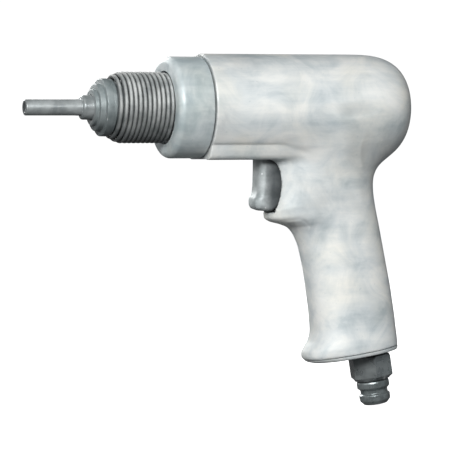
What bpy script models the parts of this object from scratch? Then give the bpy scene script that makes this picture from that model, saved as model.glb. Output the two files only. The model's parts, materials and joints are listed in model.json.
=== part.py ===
"""Pistol-grip pneumatic rivet hammer, every piece as its own closed solid.

Frame: metres. The hammer axis is the X axis: -X points out of the nose at the work, +X to the
rounded back of the housing. +Z is up, away from the grip. +Y is the tool's right-hand side.
The origin is the centre of the floor of the rivet set's cup, which is where a rivet head sits.
"""

import math

import bmesh
import bpy
from mathutils import Matrix, Vector

MM = 0.001
GAP = 0.3  # clearance between neighbouring pieces that touch on the real tool

# ---- driving dimensions, in millimetres; an "x" value is a distance behind the cup floor ----
CUP_FLOOR_R = 1.8
CUP_RIM_X = -0.5
STEM_R = 4.2
STEM_END_X = 30.0
BOSS_R = 6.4
SHANK_R = 5.1  # the standard .401 inch shank
SET_FLANGE_R = 9.6
SET_FLANGE_X = (42.0, 46.7)
SHANK_END_X = 83.0

CAP_STEPS = ((35.6, 9.6), (37.4, 12.3), (40.2, 15.1))  # where each step starts, and its radius
CAP_NECK_X = 44.1
CAP_NECK_R = 12.9
CAP_FLANGE_X = (48.6, 50.4)
CAP_FLANGE_R = 14.2

WIRE_R = 1.18
COIL_PITCH = 2.52
COIL_R = 17.6  # centre line of the full-size coils
COIL_FIRST_R = 14.9
COIL_REAR_X = 75.5
COIL_TURNS = 11.75
COIL_TAPER_TURNS = 2.5

NOSE_X = 47.0
NOSE_TIP_R = 9.6
NOSE_SHOULDER_X = 51.6
NOSE_THREAD_R = 15.7
SNAP_GROOVE_X = (76.7, 78.4)
SNAP_GROOVE_R = 15.2
SLEEVE_SEAT_X = 79.0
SLEEVE_SEAT_R = 16.0  # the plain length that the deflector turns on
BARREL_BOSS_X = (96.1, 108.2)
BARREL_BOSS_R = 23.7
BARREL_BODY_R = 16.5
BARREL_PILOT_X = 156.0
BARREL_REAR_X = 161.7
EXHAUST_HOLE_CIRCLE_R = 19.8
EXHAUST_HOLE_R = 2.0
BARREL_PORT_X = 118.0
BARREL_PORT_R = 1.6
PISTON_BORE_R = 9.55
PISTON_X = (131.0, 161.2)

VALVE_CASE_X = (162.0, 180.0)
VALVE_CAVITY_X = 168.0
VALVE_CAVITY_R = 12.5
VALVE_SPOOL_X = (171.0, 179.4)
VALVE_CAP_X = (180.3, 188.0)
VALVE_GUIDE_X = 170.0
VALVE_GUIDE_R = 4.7
VALVE_HOLE_CIRCLE_R = 9.0
DOWEL_X = (157.5, 187.0)
DOWEL_R = 1.5
DOWEL_CIRCLE_R = 16.0
DOWEL_ANGLES = (math.radians(60), math.radians(240))
RECOIL_PAD_X = (188.4, 193.6)

DEFLECTOR_X = (75.8, 95.3)
DEFLECTOR_R = 26.8
DEFLECTOR_EDGE = 5.6  # radius of its rounded front edge
DEFLECTOR_WEB_X = (78.7, 82.0)
DEFLECTOR_CHAMBER_R = 23.4
SLOT_COUNT = 5
HOUSING_FRONT_X = 95.7
HOUSING_R = 28.4
BORE_R = 20.0
BORE_REAR_X = 194.0
DOME_START_X = 178.5
DOME_LENGTH = 33.8
DOME_POWER = 3.2
KEEL_Z = (-27.2, -8.0)
KEEL_HALF_WIDTH = (16.7, 26.4)  # at its bottom and at its top, which lies inside the round shell
KEEL_TAPER = 2.5  # how much narrower on each side it is at its rear end
KEEL_REAR_X = 172.0

TILT = math.radians(9.0)  # lean of the grip from vertical
GRIP_TOP = (167.1, -20.0)  # x and z of the point on the grip's axis where its length is 0
GRIP_LENGTH = 114.0
PLATE_THICKNESS = 1.8
# Length down the grip, front reach, rear reach, half width: the sections that drive its shape.
GRIP_SECTIONS = (
    (-6.0, 36.0, 32.0, 17.0),
    (0.0, 38.0, 33.2, 18.0),
    (3.0, 36.3, 31.7, 18.5),
    (6.0, 34.4, 29.8, 18.7),
    (10.0, 33.4, 27.1, 18.7),
    (16.5, 34.0, 23.6, 18.4),
    (22.0, 35.7, 22.3, 18.1),
    (26.5, 37.8, 21.9, 17.9),
    (29.5, 39.4, 21.7, 17.7),
    (33.0, 39.6, 21.8, 17.5),
    (36.0, 37.0, 21.9, 17.4),
    (38.4, 31.0, 22.0, 17.3),
    (41.5, 26.6, 22.1, 17.3),
    (47.0, 24.2, 22.4, 17.3),
    (53.0, 22.8, 22.7, 17.3),
    (67.0, 21.9, 23.3, 17.5),
    (83.0, 22.0, 23.9, 17.6),
    (98.0, 23.0, 23.9, 17.8),
    (103.0, 25.4, 23.7, 18.1),
    (106.5, 28.9, 23.5, 18.5),
    (109.5, 30.0, 23.4, 18.7),
    (GRIP_LENGTH - PLATE_THICKNESS, 28.7, 23.3, 18.6),
)
# The base plate carries the casting's rounded foot on down, in sections of the same kind.
PLATE_SECTIONS = (GRIP_SECTIONS[-1], (113.2, 27.4, 23.1, 18.4), (GRIP_LENGTH, 25.4, 22.3, 17.8))
SECTION_POWER = 2.35
PLATE_SCREW_FRONT = 20.5  # how far the screw of the base plate lies in front of the grip's axis

PIVOT = (135.0, -25.4)  # x and z of the trigger pin
PIN_R = 1.25
PIN_Y = (-15.0, 18.4)
TRIGGER_HALF_WIDTH = 8.0
TRIGGER_EDGE = 2.2  # radius of its rounded edges
TRIGGER_FRONT = ((127.4, -22.6), (127.3, -34.0), (127.1, -41.0), (126.8, -45.4))
TRIGGER_REAR = (
    (131.8, -54.5),
    (135.0, -54.1),
    (137.4, -52.3),
    (139.6, -48.2),
    (141.1, -42.4),
    (141.3, -34.0),
    (140.6, -25.4),
    (138.4, -22.5),
)
TRIGGER_TOE = (128.6, -50.2)
TRIGGER_TOE_R = 3.7
CHANNEL_FLOOR_X = 139.4  # the trigger is hollowed behind this for the throttle stem
POCKET_X = (126.3, 144.3)
POCKET_Z = (-55.7, -21.6)
THROTTLE_Z = -43.0
THROTTLE_BORE_R = 7.5
BUSHING_X = (144.6, 158.3)
STEM_ROD_R = 2.2
THROTTLE_SPRING_X = (161.6, 172.2)
AIR_CHAMBER = (168.0, 0, -46.0)  # where the passage from the inlet meets the throttle's bore

PLUG_BORE_R = 4.4
INLET_OFFSET = 7.5  # how far the air inlet lies behind the grip's axis
INLET_BORE_R = 8.2
HEX_X = (1.8, 15.0)  # along the inlet's axis, below the base plate
HEX_ACROSS_FLATS = 20.6
REGULATOR = (185.1, -99.4)  # x and z of the regulator's axis
REGULATOR_R = 5.0

ROUND = 30
FINE_ROUND = 44
SMALL_ROUND = 18

# finish: colour, roughness, metallic
FINISHES = {
    "casting": ((0.74, 0.77, 0.78), 0.38, 0.35),
    "deflector_grey": ((0.55, 0.60, 0.62), 0.40, 0.45),
    "spring_steel": ((0.30, 0.31, 0.31), 0.35, 0.90),
    "tool_steel": ((0.32, 0.35, 0.36), 0.38, 0.85),
    "trigger_grey": ((0.28, 0.30, 0.31), 0.42, 0.60),
    "fitting_steel": ((0.25, 0.28, 0.29), 0.36, 0.85),
    "ground_steel": ((0.55, 0.56, 0.57), 0.25, 1.00),
    "brass": ((0.68, 0.52, 0.26), 0.32, 1.00),
    "rubber": ((0.03, 0.03, 0.03), 0.75, 0.00),
}


# ---- scene and helpers ----


def clear_scene():
    for obj in list(bpy.data.objects):
        bpy.data.objects.remove(obj)


def new_collection(name):
    made = bpy.data.collections.new(name)
    bpy.context.scene.collection.children.link(made)
    return made


def make_material(name, finish):
    colour, roughness, metallic = FINISHES[finish]
    material = bpy.data.materials.new(name)
    material.use_nodes = True
    shader = material.node_tree.nodes["Principled BSDF"]
    shader.inputs["Base Color"].default_value = (*colour, 1.0)
    shader.inputs["Roughness"].default_value = roughness
    shader.inputs["Metallic"].default_value = metallic
    return material


clear_scene()
PARTS = new_collection("rivet_hammer")
CUTTERS = new_collection("cutters")


def frame_at(x, y, z, direction):
    """A matrix whose local Z runs along direction, placed at a point given in millimetres."""
    z_axis = Vector(direction).normalized()
    side = Vector((0, 1, 0)) if abs(z_axis.y) < 0.9 else Vector((1, 0, 0))
    x_axis = side.cross(z_axis).normalized()
    y_axis = z_axis.cross(x_axis)
    turn = Matrix((x_axis, y_axis, z_axis)).transposed().to_4x4()
    return Matrix.Translation(Vector((x, y, z)) * MM) @ turn


HAMMER_AXIS = frame_at(0, 0, 0, (1, 0, 0))
THROTTLE_AXIS = frame_at(0, 0, THROTTLE_Z, (1, 0, 0))
DOWN_GRIP = Vector((math.sin(TILT), 0, -math.cos(TILT)))
BACK_OF_GRIP = Vector((math.cos(TILT), 0, math.sin(TILT)))


def grip_point(along, back=0.0, side=0.0):
    """A point of the grip in millimetres: along its axis, behind it and to its right."""
    start = Vector((GRIP_TOP[0], side, GRIP_TOP[1]))
    return start + DOWN_GRIP * along + BACK_OF_GRIP * back


INLET_AXIS = frame_at(*grip_point(GRIP_LENGTH, INLET_OFFSET), DOWN_GRIP)
REGULATOR_AXIS = frame_at(REGULATOR[0], 0, REGULATOR[1], (0, 1, 0))


def add_object(name, data, finish, place=None):
    """Links a new object as a part, or as a hidden cutter if it has no finish."""
    obj = bpy.data.objects.new(name, data)
    if place is not None:
        obj.matrix_world = place
    if finish:
        PARTS.objects.link(obj)
        data.materials.append(make_material(f"{name}_{finish}", finish))
    else:
        CUTTERS.objects.link(obj)
        obj.hide_render = True
        obj.display_type = "WIRE"
    return obj


def mesh_from(name, bm):
    mesh = bpy.data.meshes.new(name)
    bm.to_mesh(mesh)
    bm.free()
    mesh.shade_smooth()
    mesh.set_sharp_from_angle(angle=math.radians(35))
    return mesh


def turned(name, profile, place, finish=None, steps=ROUND, ring=False):
    """Turns a profile of (distance, radius) points, in order of distance along the outside.

    A ring's profile is closed and goes on back along its inside. Any other starts and ends on
    the axis.
    """
    bm = bmesh.new()
    verts = [bm.verts.new((r * MM, 0, along * MM)) for along, r in reversed(profile)]
    pairs = list(zip(verts, verts[1:]))
    if ring:
        pairs.append((verts[-1], verts[0]))
    for pair in pairs:
        bm.edges.new(pair)
    obj = add_object(name, mesh_from(name, bm), finish, place)
    screw = obj.modifiers.new("Turn", "SCREW")
    screw.steps = screw.render_steps = steps
    screw.use_merge_vertices = True
    screw.merge_threshold = 0.000001
    return obj


def tube_ring(name, inner, outer, start, end, place, finish=None, steps=ROUND):
    profile = [(start, outer), (end, outer), (end, inner), (start, inner)]
    return turned(name, profile, place, finish, steps, ring=True)


def drill(name, start, end, radius, steps=SMALL_ROUND):
    """A hidden cylinder between two points in millimetres."""
    start, end = Vector(start), Vector(end)
    length = (end - start).length
    profile = [(0, 0), (0, radius), (length, radius), (length, 0)]
    return turned(name, profile, frame_at(*start, end - start), None, steps)


def box(name, low, high, place=None):
    low, high = Vector(low) * MM, Vector(high) * MM
    bm = bmesh.new()
    bmesh.ops.create_cube(bm, size=1.0)
    bmesh.ops.scale(bm, vec=high - low, verts=bm.verts)
    bmesh.ops.translate(bm, vec=(high + low) / 2, verts=bm.verts)
    return add_object(name, mesh_from(name, bm), None, place)


def combine(obj, other, operation="DIFFERENCE"):
    boolean = obj.modifiers.new(other.name, "BOOLEAN")
    boolean.operation = operation
    boolean.object = other
    boolean.solver = "EXACT"


def o_ring(name, ring_r, cord_r, along, place):
    count = 6
    profile = [
        (along - cord_r * math.cos(a), ring_r + cord_r * math.sin(a))
        for a in (math.tau * i / count for i in range(count))
    ]
    return turned(name, profile, place, "rubber", 16, ring=True)


def helix(name, points, wire_r, finish):
    curve = bpy.data.curves.new(name, "CURVE")
    curve.dimensions = "3D"
    curve.bevel_depth = wire_r * MM
    curve.bevel_resolution = 2
    curve.use_fill_caps = True
    spline = curve.splines.new("POLY")
    spline.points.add(len(points) - 1)
    for target, point in zip(spline.points, points):
        target.co = (*(Vector(point) * MM), 1.0)
    return add_object(name, curve, finish)


def around(count, first=0.0, span=math.tau):
    return [first + span * i / count for i in range(count)]


def off_axis(radius, angle):
    """The y and z of a point at this distance and angle round the hammer axis."""
    return radius * math.cos(angle), radius * math.sin(angle)


# ---- the nose: rivet set, cap and retaining spring ----


def make_rivet_set():
    """Cup, stem, boss, retaining flange and shank, turned from one bar."""
    profile = [
        (0, 0),
        (0, CUP_FLOOR_R),
        (CUP_RIM_X, 2.8),
        (CUP_RIM_X, STEM_R - 0.8),
        (CUP_RIM_X + 0.8, STEM_R),
        (STEM_END_X, STEM_R),
        (STEM_END_X + 0.4, BOSS_R - 0.8),
        (STEM_END_X + 1.2, BOSS_R),
        (SET_FLANGE_X[0], BOSS_R),
        (SET_FLANGE_X[0], SET_FLANGE_R),
        (SET_FLANGE_X[1], SET_FLANGE_R),
        (SET_FLANGE_X[1], SHANK_R),
        (SHANK_END_X - 0.8, SHANK_R),
        (SHANK_END_X, SHANK_R - 0.8),
        (SHANK_END_X, 0),
    ]
    return turned("rivet_set", profile, HAMMER_AXIS, "tool_steel", 26)


def make_retainer_cap():
    """Stepped thimble gripped by the spring's small front coils. Its lip holds the set's flange."""
    round_off = 0.8
    lip_r = BOSS_R + 0.4
    inside_r = SET_FLANGE_R + 0.4
    lip_end = SET_FLANGE_X[0] - GAP
    step_ends = [start for start, _ in CAP_STEPS[1:]] + [CAP_NECK_X]
    profile = [(CAP_STEPS[0][0], lip_r)]
    for (start, radius), end in zip(CAP_STEPS, step_ends):
        profile += [(start, radius - round_off), (start + round_off, radius), (end, radius)]
    profile += [
        (CAP_NECK_X, CAP_NECK_R),
        (CAP_FLANGE_X[0], CAP_NECK_R),
        (CAP_FLANGE_X[0], CAP_FLANGE_R),
        (CAP_FLANGE_X[1], CAP_FLANGE_R),
        (CAP_FLANGE_X[1], inside_r),
        (lip_end, inside_r),
        (lip_end, lip_r),
    ]
    return turned("retainer_cap", profile, HAMMER_AXIS, "tool_steel", ROUND, ring=True)


def coil_radius(turns_from_front):
    share = min(1.0, turns_from_front / COIL_TAPER_TURNS)
    return COIL_FIRST_R + (COIL_R - COIL_FIRST_R) * (1 - (1 - share) ** 1.8)


def make_retainer_spring():
    """Beehive spring: full-size coils screwed on the barrel's nose, small coils in front."""
    steps_per_turn = 12
    count = round(COIL_TURNS * steps_per_turn)
    points = []
    for i in range(count + 1):
        turns = COIL_TURNS * i / count
        x = COIL_REAR_X - (COIL_TURNS - turns) * COIL_PITCH
        angle = math.tau * turns
        r = coil_radius(turns)
        points.append((x, r * math.cos(angle), -r * math.sin(angle)))
    return helix("retainer_spring", points, WIRE_R, "spring_steel")


# ---- barrel, deflector, hammer and valve ----


def make_barrel():
    thread_end_x = SNAP_GROOVE_X[1]
    choke_x = SHANK_END_X - 3.0  # the piston's bore stops here, and the shank's begins
    profile = [
        (NOSE_X, NOSE_TIP_R),
        (NOSE_SHOULDER_X, NOSE_TIP_R),
        (NOSE_SHOULDER_X, NOSE_THREAD_R - 2.0),
        (NOSE_SHOULDER_X + 2.0, NOSE_THREAD_R),
        (SNAP_GROOVE_X[0], NOSE_THREAD_R),
        (SNAP_GROOVE_X[0], SNAP_GROOVE_R),
        (thread_end_x, SNAP_GROOVE_R),
        (thread_end_x, NOSE_THREAD_R),
        (SLEEVE_SEAT_X, NOSE_THREAD_R),
        (SLEEVE_SEAT_X, SLEEVE_SEAT_R),
        (BARREL_BOSS_X[0], SLEEVE_SEAT_R),
        (BARREL_BOSS_X[0], BARREL_BOSS_R),
        (BARREL_BOSS_X[1], BARREL_BOSS_R),
        (BARREL_BOSS_X[1], BARREL_BODY_R),
        (BARREL_PILOT_X, BARREL_BODY_R),
        (BARREL_PILOT_X, BORE_R - GAP),
        (BARREL_REAR_X, BORE_R - GAP),
        (BARREL_REAR_X, PISTON_BORE_R),
        (choke_x, PISTON_BORE_R),
        (choke_x - 1.5, SHANK_R + GAP),
        (NOSE_X, SHANK_R + GAP),
    ]
    barrel = turned("barrel", profile, HAMMER_AXIS, "ground_steel", ROUND, ring=True)
    hole_x = (90, 110)
    for i, angle in enumerate(around(6, math.radians(34))):
        ends = [(x, *off_axis(EXHAUST_HOLE_CIRCLE_R, angle)) for x in hole_x]
        combine(barrel, drill(f"cut_boss_{i}", *ends, EXHAUST_HOLE_R, 12))
    for i, angle in enumerate(around(4, math.radians(49.5))):
        ends = [(BARREL_PORT_X, *off_axis(r, angle)) for r in (8, 18)]
        combine(barrel, drill(f"cut_port_{i}", *ends, BARREL_PORT_R, 12))
    return barrel


def make_deflector():
    """Sleeve that turns round the barrel. Air leaves through slots on one side of it."""
    front, rear = DEFLECTOR_X
    mouth_r = COIL_R + WIRE_R + 0.5
    seat_r = SLEEVE_SEAT_R + 0.4
    edge_steps = 6
    profile = [(front, mouth_r)]
    for i in range(edge_steps + 1):
        a = math.pi / 2 * i / edge_steps
        along = front + DEFLECTOR_EDGE * (1 - math.cos(a))
        profile.append((along, DEFLECTOR_R - DEFLECTOR_EDGE * (1 - math.sin(a))))
    profile += [
        (rear, DEFLECTOR_R),
        (rear, DEFLECTOR_CHAMBER_R),
        (DEFLECTOR_WEB_X[1], DEFLECTOR_CHAMBER_R),
        (DEFLECTOR_WEB_X[1], seat_r),
        (DEFLECTOR_WEB_X[0], seat_r),
        (DEFLECTOR_WEB_X[0], mouth_r),
    ]
    sleeve = turned(
        "exhaust_deflector", profile, HAMMER_AXIS, "deflector_grey", FINE_ROUND, ring=True
    )
    slot_x, slot_half = (84.5, 92.5), 1.3
    low, high = (slot_x[0], 20, -slot_half), (slot_x[1], 30, slot_half)
    for i, angle in enumerate(around(SLOT_COUNT, math.radians(-70), math.radians(100))):
        combine(sleeve, box(f"cut_slot_{i}", low, high, Matrix.Rotation(angle, 4, "X")))
    return sleeve


def make_snap_ring():
    inner, outer = SNAP_GROOVE_R + GAP, 18.2
    ring_x = (SNAP_GROOVE_X[0] + GAP, SNAP_GROOVE_X[1] - 0.2)
    ring = tube_ring("deflector_snap_ring", inner, outer, *ring_x, HAMMER_AXIS, "spring_steel")
    combine(ring, box("cut_snap_gap", (70, -2.5, 10), (85, 2.5, 25)))
    return ring


def make_piston():
    """Free hammer with a domed striking face and a recess behind."""
    front, rear = PISTON_X
    r = PISTON_BORE_R - GAP
    recess_x = rear - 6.0
    profile = [
        (front, 0),
        (front, r - 2.2),
        (front + 1.5, r - 0.9),
        (front + 3.5, r),
        (rear - 1.0, r),
        (rear, r - 1.0),
        (rear, 5.0),
        (recess_x, 4.0),
        (recess_x, 0),
    ]
    return turned("piston", profile, HAMMER_AXIS, "ground_steel", 26)


def cut_dowel_holes(obj):
    for i, angle in enumerate(DOWEL_ANGLES):
        y, z = off_axis(DOWEL_CIRCLE_R, angle)
        start, end = (DOWEL_X[0] - GAP, y, z), (DOWEL_X[1] + GAP, y, z)
        name = f"cut_dowel_{obj.name}_{i}"
        combine(obj, drill(name, start, end, DOWEL_R + GAP, 12))


def make_dowels():
    for i, angle in enumerate(DOWEL_ANGLES):
        y, z = off_axis(DOWEL_CIRCLE_R, angle)
        length = DOWEL_X[1] - DOWEL_X[0]
        profile = [(0, 0), (0, DOWEL_R), (length, DOWEL_R), (length, 0)]
        place = frame_at(DOWEL_X[0], y, z, (1, 0, 0))
        turned(f"valve_dowel_{i + 1}", profile, place, "ground_steel", 12)


def make_valve_case():
    front, rear = VALVE_CASE_X
    r = BORE_R - GAP
    profile = [
        (front, r),
        (rear, r),
        (rear, VALVE_CAVITY_R),
        (VALVE_CAVITY_X, VALVE_CAVITY_R),
        (VALVE_CAVITY_X, 4.0),
        (front, 4.0),
    ]
    case = turned("valve_case", profile, HAMMER_AXIS, "ground_steel", ROUND, ring=True)
    for i, angle in enumerate(around(4, math.radians(15))):
        ends = [(x, *off_axis(VALVE_HOLE_CIRCLE_R, angle)) for x in (front - 2, VALVE_CAVITY_X + 2)]
        combine(case, drill(f"cut_case_{i}", *ends, 1.5, 12))
    cut_dowel_holes(case)
    return case


def make_valve_spool():
    front, rear = VALVE_SPOOL_X
    r = VALVE_CAVITY_R - GAP
    groove_x = (173.6, 176.6)
    profile = [
        (front, r),
        (groove_x[0], r),
        (groove_x[0], r - 2.0),
        (groove_x[1], r - 2.0),
        (groove_x[1], r),
        (rear, r),
        (rear, VALVE_GUIDE_R + GAP),
        (front, VALVE_GUIDE_R + GAP),
    ]
    return turned("valve_spool", profile, HAMMER_AXIS, "brass", 26, ring=True)


def make_valve_cap():
    front, rear = VALVE_CAP_X
    profile = [
        (VALVE_GUIDE_X, 0),
        (VALVE_GUIDE_X, VALVE_GUIDE_R),
        (front, VALVE_GUIDE_R),
        (front, BORE_R - GAP),
        (rear, BORE_R - GAP),
        (rear, 0),
    ]
    cap = turned("valve_cap", profile, HAMMER_AXIS, "ground_steel")
    for i, angle in enumerate(around(4, math.radians(15))):
        ends = [(x, *off_axis(VALVE_HOLE_CIRCLE_R, angle)) for x in (front - 2, rear + 2)]
        combine(cap, drill(f"cut_cap_{i}", *ends, 1.8, 12))
    cut_dowel_holes(cap)
    return cap


def make_recoil_pad():
    return tube_ring("recoil_pad", 6.0, 17.0, *RECOIL_PAD_X, HAMMER_AXIS, "rubber", 32)


def make_seat_ring():
    inner, outer = BORE_R + 0.6, BARREL_BOSS_R
    start = BARREL_BOSS_X[1] + GAP
    return tube_ring("barrel_seat_ring", inner, outer, start, start + 1.2, HAMMER_AXIS, "brass")


# ---- housing ----

def section_ring(along, front, rear, half_width, count=32):
    """Points of one rounded section of the grip, in metres."""
    points = []
    for t in around(count):
        c, s = math.cos(t), math.sin(t)
        reach = rear if c > 0 else front
        back = math.copysign(abs(c) ** (2 / SECTION_POWER), c) * reach
        side = math.copysign(abs(s) ** (2 / SECTION_POWER), s) * half_width
        points.append(grip_point(along, back, side) * MM)
    return points


def loft(name, sections, finish=None):
    """A closed solid through rings of points, capped at both ends."""
    bm = bmesh.new()
    rings = [[bm.verts.new(p) for p in section_ring(*s)] for s in sections]
    count = len(rings[0])
    for upper, lower in zip(rings, rings[1:]):
        for i in range(count):
            j = (i + 1) % count
            bm.faces.new((upper[i], upper[j], lower[j], lower[i]))
    bm.faces.new(rings[0])
    bm.faces.new(rings[-1])
    bmesh.ops.recalc_face_normals(bm, faces=bm.faces)
    return add_object(name, mesh_from(name, bm), finish)


def dome_profile():
    """The rear of the housing: a rounded end, from the full radius in to the axis."""
    count = 12
    points = []
    for i in range(count + 1):
        angle = math.pi / 2 * i / count
        along = DOME_START_X + DOME_LENGTH * math.sin(angle) ** (2 / DOME_POWER)
        r = HOUSING_R * max(0.0, math.cos(angle)) ** (2 / DOME_POWER)
        points.append((along, r if i < count else 0))
    return points


def make_keel():
    """The rail under the front half of the housing. It narrows downwards and into the grip."""
    bm = bmesh.new()
    bmesh.ops.create_cube(bm, size=1.0)
    for v in bm.verts:
        at_rear, at_top = v.co.x > 0, v.co.z > 0
        half = KEEL_HALF_WIDTH[at_top] - KEEL_TAPER * at_rear
        x = KEEL_REAR_X if at_rear else HOUSING_FRONT_X
        v.co = Vector((x, math.copysign(half, v.co.y), KEEL_Z[at_top])) * MM
    lower = [e for e in bm.edges if all(v.co.z < -20 * MM for v in e.verts)]
    along = [e for e in lower if abs(e.verts[0].co.x - e.verts[1].co.x) > MM]
    bmesh.ops.bevel(bm, geom=along, offset=3.2 * MM, segments=3, profile=0.5, affect="EDGES")
    return add_object("join_keel", mesh_from("join_keel", bm), None)


def make_housing():
    shell_profile = [(HOUSING_FRONT_X, 0), (HOUSING_FRONT_X, HOUSING_R)] + dome_profile()
    housing = turned("main_housing", shell_profile, HAMMER_AXIS, "casting", FINE_ROUND)
    casting_end = GRIP_LENGTH - PLATE_THICKNESS - GAP
    sections = GRIP_SECTIONS[:-1] + ((casting_end, *GRIP_SECTIONS[-1][1:]),)
    combine(housing, make_keel(), "UNION")
    combine(housing, loft("join_grip", sections), "UNION")

    seat_x, pad_seat_r, dome_bore_x = 110.0, 13.0, 202.0
    bores = [
        (HOUSING_FRONT_X - 2, 0),
        (HOUSING_FRONT_X - 2, BARREL_BOSS_R + GAP),
        (seat_x, BARREL_BOSS_R + GAP),
        (seat_x, BORE_R),
        (BORE_REAR_X, BORE_R),
        (BORE_REAR_X, pad_seat_r),
        (dome_bore_x, pad_seat_r),
        (dome_bore_x, 0),
    ]
    combine(housing, turned("cut_main_bore", bores, HAMMER_AXIS))
    cut_trigger_space(housing)
    cut_air_passages(housing)
    return housing


def cut_trigger_space(housing):
    """The open pocket that the trigger swings in, and the hole of its pin."""
    half = TRIGGER_HALF_WIDTH + 0.4
    low, high = (POCKET_X[0], -half, POCKET_Z[0]), (POCKET_X[1], half, POCKET_Z[1])
    combine(housing, box("cut_trigger_pocket", low, high))
    x, z = PIVOT
    start, end = (x, PIN_Y[0] - 0.5, z), (x, PIN_Y[1] + 5.6, z)
    combine(housing, drill("cut_trigger_pin", start, end, PIN_R + GAP, 12))


def cut_air_passages(housing):
    """From the inlet past the regulator to the throttle's bore, then up to the hammer valve."""
    bore_x = (POCKET_X[1] - 2, 173.0)
    bore = [(bore_x[0], 0), (bore_x[0], THROTTLE_BORE_R), (bore_x[1], THROTTLE_BORE_R), (bore_x[1], 0)]
    combine(housing, turned("cut_throttle_bore", bore, THROTTLE_AXIS, steps=32))
    gallery_x, gallery_z = (151.0, 187.0), -28.2
    gallery_r, riser_r = 2.8, 2.4
    ends = [(gallery_x[0] - 2.5, 0, gallery_z), (gallery_x[1] + 2.5, 0, gallery_z)]
    combine(housing, drill("cut_gallery", *ends, gallery_r, 16))
    ends = [(gallery_x[0], 0, THROTTLE_Z), (gallery_x[0], 0, gallery_z)]
    combine(housing, drill("cut_riser", *ends, riser_r, 16))
    ends = [(gallery_x[1], 0, gallery_z), (gallery_x[1], 0, -15)]
    combine(housing, drill("cut_feed", *ends, riser_r, 16))

    passage_start = grip_point(GRIP_LENGTH - 19, INLET_OFFSET)
    combine(housing, drill("cut_air_passage", passage_start, AIR_CHAMBER, 4.2, 16))
    inlet = [(-20.0, 0), (-20.0, INLET_BORE_R), (4.0, INLET_BORE_R), (4.0, 0)]
    combine(housing, turned("cut_inlet", inlet, INLET_AXIS, steps=32))
    combine(housing, box("cut_core", (-16.5, -11, 58), (-6.0, 11, 116), grip_frame()))
    hole = [grip_point(along, -PLATE_SCREW_FRONT) for along in (GRIP_LENGTH - 11, 115)]
    combine(housing, drill("cut_plate_screw_hole", *hole, 1.8, 12))

    bore_r, groove_r = REGULATOR_R + GAP, 6.2
    regulator = [
        (-7.0, 0),
        (-7.0, bore_r),
        (14.5, bore_r),
        (14.5, groove_r),
        (16.1, groove_r),
        (16.1, bore_r),
        (24.0, bore_r),
        (24.0, 0),
    ]
    combine(housing, turned("cut_regulator", regulator, REGULATOR_AXIS, steps=SMALL_ROUND))


def grip_frame():
    """Local X runs to the back of the grip, local Y to its right and local Z down its axis."""
    axes = (BACK_OF_GRIP, Vector((0, 1, 0)), DOWN_GRIP)
    turn = Matrix(axes).transposed().to_4x4()
    return Matrix.Translation(grip_point(0) * MM) @ turn


def make_base_plate():
    plate = loft("grip_base_plate", PLATE_SECTIONS, "casting")
    hole = [(-4.0, 0), (-4.0, INLET_BORE_R), (4.0, INLET_BORE_R), (4.0, 0)]
    combine(plate, turned("cut_plate_inlet", hole, INLET_AXIS, steps=32))
    screw_axis = frame_at(*grip_point(GRIP_LENGTH, -PLATE_SCREW_FRONT), DOWN_GRIP)
    sink = [(-4.0, 0), (-4.0, 1.8), (-1.5, 1.8), (0.1, 3.4), (1.0, 3.4), (1.0, 0)]
    combine(plate, turned("cut_countersink", sink, screw_axis, steps=16))
    profile = [(-9.5, 0), (-9.5, 1.5), (-1.4, 1.5), (-0.1, 2.8), (-0.1, 0)]
    screw = turned("base_plate_screw", profile, screw_axis, "fitting_steel", 16)
    slot = box("cut_plate_slot", (-4, -0.4, -1.0), (4, 0.4, 1.0), screw_axis)
    combine(screw, slot)
    return plate


# ---- trigger and throttle ----


def trigger_outline():
    """The trigger's side view, as x and z: the front edge, round the toe, up the rear edge."""
    toe_x, toe_z = TRIGGER_TOE
    toe = []
    for degrees in range(145, 246, 25):
        a = math.radians(degrees)
        toe.append((toe_x + TRIGGER_TOE_R * math.cos(a), toe_z + TRIGGER_TOE_R * math.sin(a)))
    return [*TRIGGER_FRONT, *toe, *TRIGGER_REAR]


def make_trigger():
    """Finger lever hung from the pin, with a rounded front, a toe and a channel behind."""
    outline = trigger_outline()
    curve = bpy.data.curves.new("trigger_outline", "CURVE")
    curve.dimensions = "2D"
    curve.fill_mode = "BOTH"
    curve.extrude = (TRIGGER_HALF_WIDTH - TRIGGER_EDGE) * MM
    curve.bevel_depth = TRIGGER_EDGE * MM
    curve.bevel_resolution = 1
    curve.offset = -TRIGGER_EDGE * MM
    spline = curve.splines.new("POLY")
    spline.points.add(len(outline) - 1)
    for target, (x, z) in zip(spline.points, outline):
        target.co = (x * MM, z * MM, 0, 1)
    spline.use_cyclic_u = True
    guide = bpy.data.objects.new("trigger_guide", curve)
    CUTTERS.objects.link(guide)
    bpy.context.view_layer.update()
    graph = bpy.context.evaluated_depsgraph_get()
    mesh = bpy.data.meshes.new_from_object(guide.evaluated_get(graph))
    bpy.data.objects.remove(guide)
    mesh.materials.clear()
    x, z = PIVOT
    pivot = Vector((x, 0, z)) * MM
    bm = bmesh.new()
    bm.from_mesh(mesh)
    bmesh.ops.remove_doubles(bm, verts=bm.verts, dist=1e-6)
    bmesh.ops.recalc_face_normals(bm, faces=bm.faces)
    bmesh.ops.transform(bm, matrix=Matrix.Rotation(math.pi / 2, 4, "X"), verts=bm.verts)
    bmesh.ops.translate(bm, vec=-pivot, verts=bm.verts)
    bm.to_mesh(mesh)
    bm.free()
    trigger = add_object("trigger", mesh, "trigger_grey", Matrix.Translation(pivot))
    combine(trigger, drill("cut_trigger_ear", (x, -12, z), (x, 12, z), PIN_R + 0.35, 12))
    half = STEM_ROD_R + 2.3
    low, high = (CHANNEL_FLOOR_X, -half, -58.0), (POCKET_X[1] + 1, half, -34.0)
    combine(trigger, box("cut_trigger_channel", low, high))
    return trigger


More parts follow.
